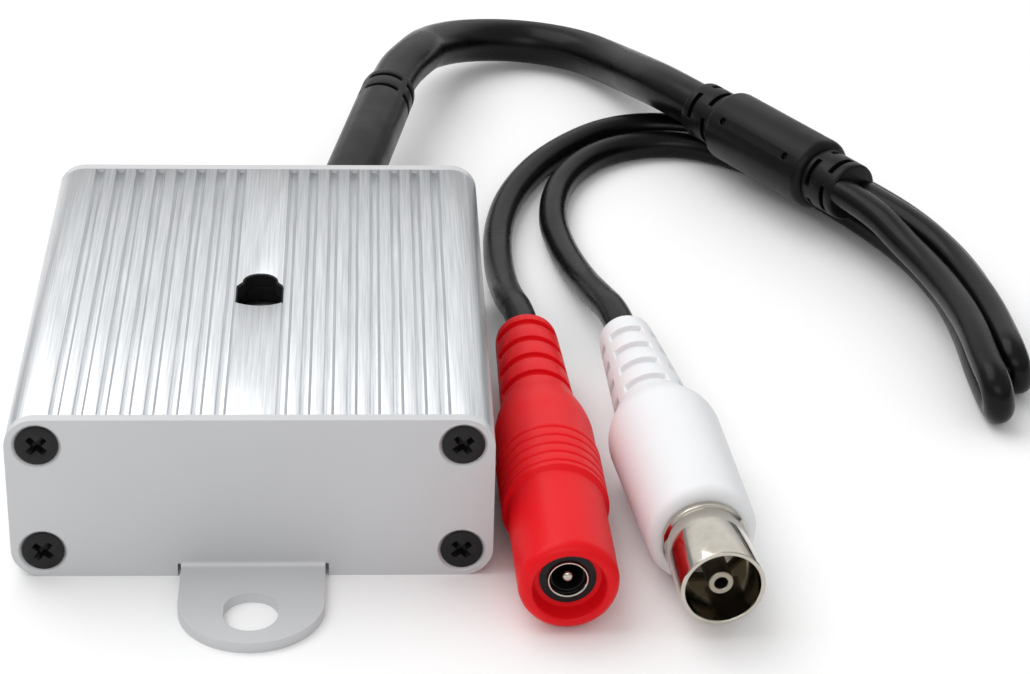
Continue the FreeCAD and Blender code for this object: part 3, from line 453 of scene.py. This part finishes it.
def bumps(tree, surface, height, distance, strength=1.0, before=None):
    links = {"Height": height}
    if before is not None:
        links["Normal"] = before
    bump = addNode(tree, "ShaderNodeBump", {"Distance": distance * mm, "Strength": strength}, links)
    tree.links.new(bump.outputs[0], surface.inputs["Normal"])
    return bump.outputs[0]


def brushedAluminium():
    # 6063 aluminium, extruded, brushed and clear anodised: bright and soft, with fine lines down the ribs
    material, tree, surface, place = newMaterial("brushedExtrusion", {"Metallic": 1.0, "Roughness": 0.34})
    lines = grain(tree, place, (0.2, 12, 0.2), 3.0, 0.6)
    cloud = grain(tree, place, (12, 16, 12), 2.0)
    nicks = grain(tree, place, (0.4, 0.16, 0.4), 1.0)
    tone = levels(tree, lines, 0.3, 0.7, 0.0, 1.0)
    colour = twoColours(tree, tone, "#C2C5C8", "#E2E4E6")
    tree.links.new(colour, surface.inputs["Base Color"])
    tree.links.new(levels(tree, cloud, 0.3, 0.7, 0.32, 0.38), surface.inputs["Roughness"])
    first = bumps(tree, surface, lines, 0.012)
    bumps(tree, surface, levels(tree, nicks, 0.62, 0.80, 0.0, 1.0), 0.006, before=first)
    return material


def satinPlate():
    # aluminium sheet, pressed and satin anodised: an even grey with a very fine frosting
    material, tree, surface, place = newMaterial("satinSheet", {"Metallic": 0.25, "Roughness": 0.5})
    frost = grain(tree, place, (0.16, 0.16, 0.16), 2.0)
    cloud = grain(tree, place, (16, 16, 16), 2.0)
    tree.links.new(twoColours(tree, cloud, "#C2C3C5", "#C8C9CB"), surface.inputs["Base Color"])
    tree.links.new(levels(tree, frost, 0.3, 0.7, 0.46, 0.54), surface.inputs["Roughness"])
    bumps(tree, surface, frost, 0.008)
    return material


def blackedSteel():
    # steel, black oxide and oiled: nearly black with a faint dull shine
    material, tree, surface, place = newMaterial("blackedSteel", {"IOR": 1.5, "Specular IOR Level": 0.3})
    grit = grain(tree, place, (0.25, 0.25, 0.25), 3.0)
    tree.links.new(twoColours(tree, grit, "#09090A", "#111112"), surface.inputs["Base Color"])
    tree.links.new(levels(tree, grit, 0.3, 0.7, 0.32, 0.5), surface.inputs["Roughness"])
    bumps(tree, surface, grit, 0.01)
    return material


def jacket(name, dark, light, roughLow, roughHigh, grainSize, depth):
    # flexible PVC: black with long soft highlights, its surface slightly uneven from the extruder or mould
    material, tree, surface, place = newMaterial(name, {"IOR": 1.53, "Specular IOR Level": 0.16})
    fine = grain(tree, place, (grainSize, grainSize, grainSize), 2.0)
    wide = grain(tree, place, (5, 5, 5), 2.0)
    tree.links.new(twoColours(tree, wide, dark, light), surface.inputs["Base Color"])
    tree.links.new(levels(tree, wide, 0.3, 0.7, roughLow, roughHigh), surface.inputs["Roughness"])
    first = bumps(tree, surface, fine, depth)
    bumps(tree, surface, wide, 0.05, before=first)
    return material


def mouldedPlastic(name, dark, light, rough, glow):
    # soft PVC injection moulding: an even satin colour, light going a little way in
    material, tree, surface, place = newMaterial(name, {
        "IOR": 1.53, "Specular IOR Level": 0.16, "Subsurface Weight": glow, "Subsurface Radius": (1.0, 0.5, 0.4), "Subsurface Scale": 0.8 * mm})
    fine = grain(tree, place, (0.3, 0.3, 0.3), 2.0)
    wide = grain(tree, place, (7, 7, 7), 2.0)
    tree.links.new(twoColours(tree, wide, dark, light), surface.inputs["Base Color"])
    tree.links.new(levels(tree, fine, 0.3, 0.7, rough - 0.05, rough + 0.06), surface.inputs["Roughness"])
    bumps(tree, surface, fine, 0.012)
    return material


def platedMetal(name, dark, light, rough):
    # brass, turned and nickel plated: mirror-like with a warm grey cast and a faint mottle
    material, tree, surface, place = newMaterial(name, {"Metallic": 1.0})
    wear = grain(tree, place, (1.2, 1.2, 1.2), 3.0)
    tree.links.new(twoColours(tree, wear, dark, light), surface.inputs["Base Color"])
    tree.links.new(levels(tree, wear, 0.3, 0.7, rough, rough + 0.08), surface.inputs["Roughness"])
    return material


def plainPart(name, dark, light, rough, metallic=0.0, cell=0.8):
    # board parts: glass laminate, epoxy, sleeve and lacquer, each a mottled flat colour
    material, tree, surface, place = newMaterial(name, {"Metallic": metallic, "Specular IOR Level": 0.3})
    mottle = grain(tree, place, (cell, cell, cell), 3.0)
    tree.links.new(twoColours(tree, mottle, dark, light), surface.inputs["Base Color"])
    tree.links.new(levels(tree, mottle, 0.3, 0.7, rough - 0.05, rough + 0.08), surface.inputs["Roughness"])
    bumps(tree, surface, mottle, 0.01)
    return material


finishes = {
    "case_aluminium": brushedAluminium(),
    "plate_aluminium": satinPlate(),
    "black_screws": blackedSteel(),
    "cable_jacket": jacket("extrudedJacket", "#040405", "#080809", 0.24, 0.32, 0.25, 0.010),
    "black_plastic": jacket("mouldedBlack", "#060607", "#0B0B0C", 0.32, 0.42, 0.30, 0.020),
    "red_plastic": mouldedPlastic("mouldedRed", "#D80814", "#E20C18", 0.40, 0.05),
    "white_plastic": mouldedPlastic("mouldedWhite", "#E0E1E3", "#E6E7E9", 0.40, 0.2),
    "cream_plastic": mouldedPlastic("contactInsulator", "#A79C86", "#B8AD97", 0.45, 0.1),
    "nickel": platedMetal("nickelPlate", "#B4AEA3", "#CCC7BD", 0.06),
    "black_rubber": plainPart("mouldedRubber", "#08080A", "#101012", 0.7),
    "capsule_can": plainPart("drawnCan", "#8A8C8E", "#A2A4A6", 0.35, 1.0),
    "board_laminate": plainPart("maskedLaminate", "#0F4A2A", "#176038", 0.4, cell=2.5),
    "black_component": plainPart("mouldedEpoxy", "#0B0B0C", "#141415", 0.5),
    "capacitor_sleeve": plainPart("shrunkSleeve", "#1A1F38", "#232A4A", 0.35),
    "trimmer_blue": plainPart("trimmerCase", "#1E5AA8", "#2A6ABC", 0.4),
    "resistor_tan": plainPart("resistorLacquer", "#C2A878", "#D2BA8C", 0.4),
}
print("materials made")

for cord in (mainCable, powerTail, audioTail):
    cord.data.materials.append(finishes["cable_jacket"])


# Ribbed case

case = {
    "width": 50.0,
    "height": 18.8,
    "length": 58.0,
    "corner": 3.2,
    "wall": 1.6,
    "grooveFirst": 3.1,
    "groovePitch": 2.4,
    "grooveCount": 8,
    "grooveTop": 1.15,
    "grooveFloor": 0.5,
    "grooveDepth": 0.5,
    "openingShift": 0.05,
    "openingWidth": 5.2,
    "openingBack": 0.3,
    "openingShoulder": (2.6, -1.0),
    "shoulderTurn": 33.5,
    "openingFrontArc": 4.5,
    "openingFrontMiddle": -1.05,
    "lobe": 1.95,
    "lobeMiddle": 0.1,
    "shadeLipWall": 0.16,
}


def roundLongEdges(piece, radius, axis, segments=10, wanted=lambda a, b: True):
    editOf(piece, "EDGE")
    selectEdges(piece, lambda a, b: along(a, b, axis) and wanted(a, b))
    bpy.ops.mesh.bevel(offset=radius * mm, segments=segments, affect="EDGES", clamp_overlap=False)
    bpy.ops.object.mode_set(mode="OBJECT")


def makeGroove(c):
    # one groove's cutter: a block along the case, its floor drawn in
    x, floor = c["grooveFirst"], c["height"] - c["grooveDepth"]
    top = c["height"] + c["grooveDepth"]
    slope = (c["grooveTop"] - c["grooveFloor"]) / 2 / c["grooveDepth"]
    wide = c["grooveFloor"] / 2 + slope * (top - floor)
    cutter = addBox("groove", (x - wide, -c["length"], floor), (x + wide, c["length"], top))
    editOf(cutter)
    selectFaces(cutter, lambda middle, normal: normal.z < -0.9)
    bpy.ops.transform.resize(value=(c["grooveFloor"] / 2 / wide, 1, 1), center_override=(x * mm, 0, floor * mm))
    bpy.ops.object.mode_set(mode="OBJECT")
    return cutter


def makeOpening(c, low, high, inset=0):
    # flat sides, a bowed front edge, sloping shoulders, and a round lobe behind them
    opening = turnPiece("opening", [(c["openingFrontArc"] - inset, low), (c["openingFrontArc"] - inset, high)], 128)
    putAt(opening, Matrix.Translation((0, c["openingFrontMiddle"] * mm, 0)))
    side = c["openingWidth"] / 2 - inset
    cutAway(opening, addBox("sides", (-side, -9, low - 1), (side, c["openingBack"] - inset, high + 1)), "INTERSECT")
    x, y = c["openingShoulder"]
    for sign in (-1, 1):
        wedge = addBox("shoulder", (0, -9, low - 1), (9, 9, high + 1))
        turned = c["shoulderTurn"] if sign > 0 else 180 - c["shoulderTurn"]
        putAt(wedge, Matrix.Translation(Vector((sign * (x - inset), y - inset, 0)) * mm)
              @ Matrix.Rotation(math.radians(turned), 4, "Z"))
        cutAway(opening, wedge)
    lobe = turnPiece("lobe", [(c["lobe"] - inset, low), (c["lobe"] - inset, high)], 64)
    putAt(lobe, Matrix.Translation((0, c["lobeMiddle"] * mm, 0)))
    cutAway(opening, lobe, "UNION")
    putAt(opening, Matrix.Translation((c["openingShift"] * mm, 0, 0)))
    return opening


def makeCase(c):
    w, l, h = c["width"] / 2, c["length"] / 2, c["height"]
    block = addBox("ribbedCase", (-w, -l, 0), (w, l, h))
    roundLongEdges(block, c["corner"], 1, 12)
    hollow = addBox("hollow", (c["wall"] - w, -l - 1, c["wall"]), (w - c["wall"], l + 1, h - c["wall"]))
    roundLongEdges(hollow, c["corner"] - c["wall"], 1, 6)
    cutAway(block, hollow)
    groove = makeGroove(c)
    row = []
    for i in range(c["grooveCount"]):
        shift = i * c["groovePitch"]
        row.append(copyOf(groove, "grooveRight", Matrix.Translation((shift * mm, 0, 0))))
        row.append(copyOf(groove, "grooveLeft", Matrix.Translation(((-2 * c["grooveFirst"] - shift) * mm, 0, 0))))
    bpy.data.objects.remove(groove)
    cutAway(block, joined(row))
    opening = makeOpening(c, h - 3, h + 1)
    cutAway(block, opening)
    softenEdges(block, 0.09, 2)
    return finish(block, finishes["case_aluminium"], "case_aluminium", "enclosure_extrusion")


makeCase(case)


def cadCopy(node, name):
    # a copy of a CAD node's mesh, standing where the node stands, its doubled points merged
    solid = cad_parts[node]
    twin = copyOf(solid, name)
    twin.parent = None
    twin.matrix_world = solid.matrix_world.copy()
    pick(twin)
    bpy.ops.object.transform_apply(location=True, rotation=True, scale=True)
    tidyFaces(twin)
    return twin


def makeShadeLip(c):
    # a thin black lip over the walls of the opening through the case, a dark sheet that paints the shade inside the
    # opening, joined to the black rubber sleeve
    low, high = c["height"] - c["wall"] + 0.02, c["height"] - 0.15
    shadeLip = makeOpening(c, low, high, 0.02)
    cutAway(shadeLip, makeOpening(c, low - 1, high + 1, c["shadeLipWall"]))
    sleeve = joined([shadeLip, cadCopy("microphone_sleeve", "microphoneSleeve")])
    return finish(sleeve, finishes["black_rubber"], "black_rubber", "microphone_sleeve")


makeShadeLip(case)
print("case made")


# End plates with their bent ears, and the screws that hold them

plate = {
    "thickness": 1.2,
    "earWidth": 15.0,
    "earReach": 14.0,
    "holeWidth": 5.6,
    "holeLength": 6.8,
    "holeSetback": 8.4,
    "bend": 0.7,
    "notchWidth": 0.35,
    "notchHeight": 1.5,
    "screwInset": 3.3,
    "screwDrop": 3.05,
    "sink": 5.1,
    "sinkBore": 2.9,
    "cableHole": 8.6,
}


def makeSlotCutter(c, thickness):
    # stadium through the ear, long way towards the tip
    straight = c["holeLength"] - c["holeWidth"]
    cutter = turnPiece("slot", [(c["holeWidth"] / 2, -1), (c["holeWidth"] / 2, thickness + 1)], 64)
    editOf(cutter, "VERT")
    mesh = bmesh.from_edit_mesh(cutter.data)
    for v in mesh.verts:
        v.select_set(v.co.y > 1e-6)
    mesh.select_flush(True)
    bmesh.update_edit_mesh(cutter.data)
    bpy.ops.transform.translate(value=(0, straight * mm, 0))
    bpy.ops.object.mode_set(mode="OBJECT")
    middle = -(c["thickness"] + c["holeSetback"]) - straight / 2
    putAt(cutter, Matrix.Translation((0, middle * mm, 0)))
    return cutter


def makePlate(name, c, withCable):
    w, h, t = case["width"] / 2, case["height"], c["thickness"]
    sheet = addBox(name, (-w, -t, 0), (w, 0, h))
    roundLongEdges(sheet, case["corner"], 1, 12)
    halfEar = c["earWidth"] / 2
    ear = addBox("ear", (-halfEar, -t - c["earReach"], 0), (halfEar, -t / 2, t))
    roundLongEdges(ear, halfEar * 0.9999, 2, 32, lambda a, b: a.y < -t - 1)
    cutAway(sheet, ear, "UNION")
    # the inner corner of the bend is filled with a bar that has the bend's radius cut from it
    bar = addBox("bendFillet", (-halfEar, -t - c["bend"], t - 0.1), (halfEar, -t + 0.1, t + c["bend"]))
    tube = turnPiece("bendTube", [(c["bend"], -c["earWidth"]), (c["bend"], c["earWidth"])], 48)
    putAt(tube, Matrix.Translation((0, (-t - c["bend"]) * mm, (t + c["bend"]) * mm)) @ Matrix.Rotation(math.pi / 2, 4, "Y"))
    cutAway(bar, tube)
    cutAway(sheet, bar, "UNION")
    for side in (-1, 1):
        near, far = sorted((side * halfEar, side * (halfEar + c["notchWidth"])))
        cutAway(sheet, addBox("notch", (near, -t - 1, -1), (far, 1, c["notchHeight"])))
    cutAway(sheet, makeSlotCutter(c, t))
    sinks = []
    for x in (c["screwInset"] - w, w - c["screwInset"]):
        for z in (c["screwDrop"], h - c["screwDrop"]):
            depth = (c["sink"] - c["sinkBore"]) / 2
            sink = turnPiece("sink", [(c["sink"] / 2 + 0.2, -0.2), (c["sink"] / 2, 0), (c["sinkBore"] / 2, depth),
                                      (c["sinkBore"] / 2, t + 1)], 64)
            putAt(sink, Matrix.Translation((x * mm, -t * mm, z * mm)) @ Matrix.Rotation(-math.pi / 2, 4, "X"))
            sinks.append(sink)
    cutAway(sheet, joined(sinks))
    if withCable:
        gland = turnPiece("gland", [(c["cableHole"] / 2, -2), (c["cableHole"] / 2, t + 2)], 64)
        x, _, z = boot["pivot"]
        putAt(gland, Matrix.Translation((-x * mm, 0, z * mm)) @ Matrix.Rotation(math.pi / 2, 4, "X"))
        cutAway(sheet, gland)
    # the outside of the bend is rounded like the inside
    editOf(sheet, "EDGE")
    selectEdges(sheet, lambda a, b: along(a, b, 0) and abs(a.y) < 0.01 and abs(a.z) < 0.01
                and abs(a.x) < halfEar + 0.01 and abs(b.x) < halfEar + 0.01)
    bpy.ops.mesh.bevel(offset=c["bend"] * mm, segments=6, affect="EDGES")
    bpy.ops.object.mode_set(mode="OBJECT")
    softenEdges(sheet, 0.12, 2)
    if withCable:
        putAt(sheet, Matrix.Translation((0, case["length"] / 2 * mm, 0)) @ Matrix.Rotation(math.pi, 4, "Z"))
    else:
        putAt(sheet, Matrix.Translation((0, -case["length"] / 2 * mm, 0)))
    return sheet


finish(makePlate("frontPlate", plate, False), finishes["plate_aluminium"], "plate_aluminium", "front_end_plate")
finish(makePlate("rearPlate", plate, True), finishes["plate_aluminium"], "plate_aluminium", "rear_end_plate")

screw = {
    "head": 4.4,
    "edge": 0.15,
    "shank": 2.3,
    "length": 9.0,
    "recessSpan": 2.8,
    "recessWidth": 0.8,
    "recessDepth": 1.1,
    "sunk": 0.05,
    "frontTurns": (45, 38, 52, 41),
    "rearTurns": (20, 64, 33, 48),
}


def makeScrewBlank(c):
    head, shank = c["head"] / 2, c["shank"] / 2
    blank = turnPiece("screw", [
        (shank - 0.5, -c["length"]), (shank, -c["length"] + 0.8), (shank, -c["edge"] - (head - shank)),
        (head, -c["edge"]), (head, 0)], 64)
    # cross recess: two tapering bars
    for turned in (0, 90):
        a, b = c["recessSpan"] / 2, c["recessWidth"] / 2
        bar = addBox("recess", (-a, -b, -c["recessDepth"]), (a, b, 0.5))
        editOf(bar)
        selectFaces(bar, lambda middle, normal: normal.z < -0.9)
        bpy.ops.transform.resize(value=(0.55, 0.6, 1), center_override=(0, 0, 0))
        bpy.ops.object.mode_set(mode="OBJECT")
        putAt(bar, Matrix.Rotation(math.radians(turned), 4, "Z"))
        cutAway(blank, bar)
    softenEdges(blank, 0.08, 2)
    return blank


def makeScrews(name, blank, c, side, turns, node):
    w, h = case["width"] / 2, case["height"]
    face = case["length"] / 2 + plate["thickness"] - c["sunk"]
    places = [(plate["screwInset"] - w, h - plate["screwDrop"]), (w - plate["screwInset"], h - plate["screwDrop"]),
              (plate["screwInset"] - w, plate["screwDrop"]), (w - plate["screwInset"], plate["screwDrop"])]
    copies = [copyOf(blank, name, placed((0, side, 0), (x, side * face, z), turn))
              for (x, z), turn in zip(places, turns)]
    finish(joined(copies), finishes["black_screws"], "black_screws", node)


blankScrew = makeScrewBlank(screw)
makeScrews("frontScrews", blankScrew, screw, -1, screw["frontTurns"], "front_plate_screws")
makeScrews("rearScrews", blankScrew, screw, 1, screw["rearTurns"], "rear_plate_screws")
bpy.data.objects.remove(blankScrew)
print("plates and screws made")


# Boot where the cable leaves

def arcRings(radius, start, end, centre, steps=5):
    # rings of a rounding from one angle to another about (radius, height), in degrees
    rings = []
    for i in range(steps + 1):
        angle = math.radians(start + (end - start) * i / steps)
        rings.append((centre[0] + radius * math.cos(angle), centre[1] + radius * math.sin(angle)))
    return rings


def makeBoot(c):
    r, top, round_ = c["diameter"] / 2, c["length"], c["rounding"]
    profile = [(r * 0.4, -r * 0.9), (r, 0)]
    for middle, width in c["slots"]:
        profile += [(r, middle - width / 2), (r, middle + width / 2)]
    profile += arcRings(round_, 0, 90, (r - round_, top - round_))
    tail = turnPiece("cableBoot", profile)
    for middle, width in c["slots"]:
        sinkSlots(tail, middle - width / 2, middle + width / 2, c["arc"], 4, 0, 1 - c["slotDepth"] / r)
    softenEdges(tail, 0.15, 3)
    putAt(tail, placed(bootAxis, bootPivot))
    f, n, t = c["flange"] / 2, c["neck"] / 2, c["flangeThickness"]
    inner = t + c["plate"]
    root = turnPiece("bootRoot", [
        (f, 0), (f, t * 0.6), (f, t), (n, t), (n, inner), (f, inner), (f, inner + t * 0.5),
        (f - 0.5, inner + t), (r * 0.6, inner + t)])
    putAt(root, placed((0, 1, 0), (c["pivot"][0], case["length"] / 2 - t, c["pivot"][2])))
    softenEdges(root, 0.25, 3)
    return finish(joined([tail, root]), finishes["black_plastic"], "black_plastic", "cable_boot")


makeBoot(boot)


# Moulded joint where the cable splits

def makeSplitter(c):
    r, big = c["relief"] / 2, c["diameter"] / 2
    base = c["reliefLength"]
    top = base + c["length"]
    end = top + base
    e = c["rounding"]
    half = c["slotWidth"] / 2
    rows = [base * 0.3, base * 0.8, top + base * 0.2, top + base * 0.7]
    profile = arcRings(0.4, -90, 0, (r - 0.4, 0.4), 3)
    for row in rows[:2]:
        profile += [(r, row - half), (r, row + half)]
    profile += [(r, base), (big - e, base)] + arcRings(e, -90, 0, (big - e, base + e))[1:]
    profile += arcRings(e, 0, 90, (big - e, top - e)) + [(r, top)]
    for row in rows[2:]:
        profile += [(r, row - half), (r, row + half)]
    profile += arcRings(0.4, 0, 90, (r - 0.4, end - 0.4), 3)
    body = turnPiece("cableSplitter", profile)
    for i, row in enumerate(rows):
        sinkSlots(body, row - half, row + half, c["arc"], 4, 45 * (i % 2), 1 - c["slotDepth"] / r)
    drills = []
    for turn in range(0, 360, 90):
        for sign in (-1, 1):
            drill = turnPiece("drill", [(c["dimple"] / 2, big - c["dimpleDepth"]), (c["dimple"] / 2, big + 1)], 24)
            height = base + c["length"] / 2 + sign * c["dimpleSpacing"] / 2
            putAt(drill, Matrix.Rotation(math.radians(turn), 4, "Z") @ Matrix.Translation((0, 0, height * mm))
                  @ Matrix.Rotation(math.pi / 2, 4, "X"))
            drills.append(drill)
    cutAway(body, joined(drills))
    softenEdges(body, 0.12, 3)
    putAt(body, placed(splitAxis, splitStart, c["turned"]))
    return finish(body, finishes["black_plastic"], "black_plastic", "cable_splitter")


splitterPiece = makeSplitter(splitter)
print("boot and splitter made")


# Overmoulds of the two sockets

def reliefProfile(c):
    # slotted relief that widens from the cable, and the arc of the shoulder up to the body
    def radiusAt(z):
        return (c["back"] + (c["reliefEnd"] - c["back"]) * z / c["reliefLength"]) / 2
    half = c["slotWidth"] / 2
    edge = 0.9
    rings = arcRings(edge, -90, 0, (c["back"] / 2 - edge, edge), 5)
    places = [c["reliefLength"] - (i + 0.35) * c["slotPitch"] for i in range(c["slotCount"])]
    for place in sorted(places):
        rings += [(radiusAt(place - half), place - half), (radiusAt(place + half), place + half)]
    rings.append((c["reliefEnd"] / 2, c["reliefLength"]))
    # shoulder: leaves the relief at a slope and meets the body along it
    rise = (c["body"] - c["reliefEnd"]) / 2
    for i in range(1, 11):
        k = i / 10
        rings.append((c["reliefEnd"] / 2 + rise * math.sin(k * math.pi / 2) ** 1.1, c["reliefLength"] + c["shoulder"] * k))
    slots = [(place - half, place + half, 1 - c["slotDepth"] / radiusAt(place)) for place in places]
    return rings, slots


def makePowerBody(c):
    rings, slots = reliefProfile(c)
    body, band, sleeve = c["body"] / 2, c["band"] / 2, c["sleeve"] / 2
    bandEnd = c["bandStart"] + c["bandLength"]
    edge = c["mouthEdge"]
    rings += [(body, c["bandStart"]), (band, c["bandStart"] + 0.1)]
    for i in range(c["ringCount"]):
        place = c["bandStart"] + c["ringPitch"] * (i + 0.5)
        rings += [(band, place - 0.25), (band - c["ringDepth"], place), (band, place + 0.25)]
    rings += [(band, bandEnd), (sleeve, bandEnd + 0.5)]
    rings += arcRings(edge, 0, 90, (sleeve - edge, c["length"] - edge), 6)
    mouth = c["recess"] / 2
    floor = c["length"] - c["recessDepth"]
    rings += arcRings(0.3, 90, 180, (mouth + 0.3, c["length"] - 0.3), 3)
    hole = c["barrel"] / 2 + 0.05
    rings += [(mouth - 0.3, floor), (hole, floor), (hole, floor - c["barrelLength"])]
    piece = turnPiece("powerMoulding", rings, 128)
    for bottom, top, scale in slots:
        sinkSlots(piece, bottom, top, c["arc"], 2, 90, scale)
    softenEdges(piece, 0.14, 3, 28)
    putAt(piece, placed(powerAxis, powerStart))
    return finish(piece, finishes["red_plastic"], "red_plastic", "power_socket_body")


def makePowerContacts(c):
    mouth = c["length"] - c["recessDepth"]
    base = mouth - c["barrelLength"]
    outer = c["barrel"] / 2
    inner = outer - c["barrelWall"]
    barrel = turnPiece("powerBarrel", [
        (outer - 0.02, base), (outer, base + 0.02), (outer, mouth + 0.35), (outer - 0.05, mouth + 0.4),
        (inner + 0.05, mouth + 0.4), (inner, mouth + 0.35), (inner, base + 0.1)], 64)
    putAt(barrel, placed(powerAxis, powerStart))
    finish(barrel, finishes["nickel"], "nickel", "power_socket_barrel")
    # the black liner inside the barrel is a dark sheet that paints the shade deep in the barrel; its floor round the
    # pin stands for the insulator
    shadeLining = inner - 0.02
    bore = shadeLining - 0.25
    shadeLiner = turnPiece("powerShadeLining", [
        (shadeLining - 0.05, base + 0.2), (shadeLining, base + 0.3), (shadeLining, mouth - 0.5), (shadeLining - 0.1, mouth - 0.4),
        (bore, mouth - 0.4), (bore, base + 2), (c["pin"] / 2 + 0.02, base + 2)], 64)
    # black collar round the barrel on the recess's floor
    collar = turnPiece("powerCollar", [(outer + 0.8, mouth - 0.6), (outer + 0.8, mouth + 0.1)], 64)
    cutAway(collar, turnPiece("collarBore", [(outer + 0.06, mouth - 1), (outer + 0.06, mouth + 1)], 64))
    shadeLiner = joined([shadeLiner, collar])
    putAt(shadeLiner, placed(powerAxis, powerStart))
    finish(shadeLiner, finishes["black_component"], "black_component", "power_socket_insulator")
    pin = c["pin"] / 2
    post = turnPiece("powerPin", [(pin * 0.8, base + 0.4), (pin, base + 0.6), (pin, mouth - 0.45)]
                     + arcRings(0.45, 0, 80, (pin - 0.45, mouth - 0.45), 5), 48)
    putAt(post, placed(powerAxis, powerStart))
    return finish(post, finishes["nickel"], "nickel", "power_socket_pin")


makePowerBody(powerSocket)
makePowerContacts(powerSocket)


def makeAudioBody(c):
    rings, slots = reliefProfile(c)
    front, edge = c["front"] / 2, c["rounding"]
    rings += arcRings(edge, 0, 90, (front - edge, c["length"] - edge), 8)
    hole = c["shell"] / 2 - c["shellWall"] + 0.05
    rings += [(hole, c["length"]), (hole, c["length"] - c["shellTail"])]
    piece = turnPiece("audioMoulding", rings, 128)
    for bottom, top, scale in slots:
        sinkSlots(piece, bottom, top, c["arc"], 4, c["turned"], scale)
    softenEdges(piece, 0.14, 3, 28)
    putAt(piece, placed(audioAxis, audioStart))
    return finish(piece, finishes["white_plastic"], "white_plastic", "audio_socket_body")


def makeAudioContacts(c):
    base = c["length"]
    tail = base - c["shellTail"]
    step = base + c["shellBaseLength"]
    mouth = step + c["shellLength"]
    outer, wide = c["shell"] / 2, c["shellBase"] / 2
    inner = outer - c["shellWall"]
    passage = c["contact"] / 2 + 1.2
    floor = base + c["shellBaseLength"] / 2
    shell = turnPiece("audioShell", [
        (passage, tail), (inner, tail), (inner, base), (wide - 0.15, base), (wide, base + 0.15), (wide, step - 0.3),
        (wide - 0.3, step), (outer, step), (outer, mouth - 0.1), (outer - 0.1, mouth), (inner + 0.08, mouth),
        (inner, mouth - 0.08), (inner, floor), (passage, floor), (passage, tail + 0.2)], 128)
    for side in (-1, 1):
        near, far = sorted((side * outer, side * (outer + 1)))
        cutAway(shell, addBox("flat", (near, -2.2, base - 0.1), (far, 2.2, step + 0.1)))
    softenEdges(shell, 0.04, 2)
    putAt(shell, placed(audioAxis, audioStart))
    finish(shell, finishes["nickel"], "nickel", "audio_socket_shell")
    core, bore = c["contact"] / 2, c["contactBore"] / 2
    washer = turnPiece("audioWasher", [
        (core + 0.02, tail + 0.1), (passage - 0.02, tail + 0.1), (passage - 0.02, floor + 0.5),
        (passage - 0.12, floor + 0.6), (core + 0.02, floor + 0.6)], 64)
    putAt(washer, placed(audioAxis, audioStart))
    finish(washer, finishes["cream_plastic"], "cream_plastic", "audio_socket_insulator")
    tinned = platedMetal("tinnedContact", "#958E80", "#ABA496", 0.28)
    tube = turnPiece("audioContact", [
        (core - 0.1, tail), (core, tail + 0.1), (core, mouth - 1.1), (core - 0.1, mouth - 1), (bore + 0.06, mouth - 1),
        (bore, mouth - 1.06), (bore, floor + 1)], 64)
    putAt(tube, placed(audioAxis, audioStart))
    return finish(tube, tinned, "nickel", "audio_socket_contact")


makeAudioBody(audioSocket)
makeAudioContacts(audioSocket)
print("sockets made")


# CAD nodes that stay as they are, each with its finish

dressed = {
    "microphone_capsule": "capsule_can",
    "circuit_board": "board_laminate",
    "amplifier_chip": "black_component",
    "coupling_capacitors": "capacitor_sleeve",
    "supply_capacitor": "capacitor_sleeve",
    "voltage_regulator": "black_component",
    "gain_trimmer": "trimmer_blue",
    "board_resistors": "resistor_tan",
    "power_lead_wire": "red_plastic",
    "audio_lead_wire": "white_plastic",
    "ground_lead_wire": "black_plastic",
}
for node, slotName in dressed.items():
    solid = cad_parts[node]
    solid.data.materials.clear()
    solid.data.materials.append(finishes[slotName])


# Floor and studio light

studio = {
    "floorSize": 3.0,
    "floorColour": "#F4F4F4",
    "sky": "#FFFFFF",
    "horizon": "#55575A",
    "skyStrength": 0.70,
    # name, place in mm, target in mm, width and height in mm, watts
    "lamps": [
        ("keyBox", (-220, 120, 520), (20, 30, 0), 560, 460, 1.85),
        ("backBox", (20, 1330, 780), (20, 30, 0), 3000, 1500, 5.4),
        ("frontBox", (-60, -800, 520), (0, -30, 0), 700, 300, 1.5),
    ],
}


def makeFloor(c):
    clearSelection()
    bpy.ops.mesh.primitive_plane_add(size=c["floorSize"])
    floor = bpy.context.object
    floor.name = "floor"
    material, tree, surface, place = newMaterial("paperSweep", {"Roughness": 0.9, "IOR": 1.3})
    fibre = grain(tree, place, (0.8, 0.8, 0.8), 2.0)
    tree.links.new(twoColours(tree, fibre, "#F2F2F2", c["floorColour"]), surface.inputs["Base Color"])
    floor.data.materials.append(material)


def makeLight(c):
    for name, place, target, width, height, watts in c["lamps"]:
        bpy.ops.object.light_add(type="AREA", location=Vector(place) * mm)
        lamp = bpy.context.object
        lamp.name = name
        lamp.data.shape = "RECTANGLE"
        lamp.data.size = width * mm
        lamp.data.size_y = height * mm
        lamp.data.energy = watts
        aim = Vector(target) - Vector(place)
        lamp.rotation_euler = aim.to_track_quat("-Z", "Y").to_euler()
    world = bpy.data.worlds.new("studioSky")
    world.use_nodes = True
    bpy.context.scene.world = world
    tree = world.node_tree
    tree.nodes.clear()
    place = addNode(tree, "ShaderNodeTexCoord")
    split = addNode(tree, "ShaderNodeSeparateXYZ", links={0: place.outputs["Generated"]})
    height = levels(tree, split.outputs[2], 0.0, 0.36, 0.0, 1.0)
    colour = twoColours(tree, height, c["horizon"], c["sky"])
    light = addNode(tree, "ShaderNodeBackground", {"Strength": c["skyStrength"]}, {"Color": colour})
    addNode(tree, "ShaderNodeOutputWorld", links={"Surface": light.outputs[0]})
    bpy.context.scene.view_settings.view_transform = "Standard"


makeFloor(studio)
makeLight(studio)
print("floor and light made")
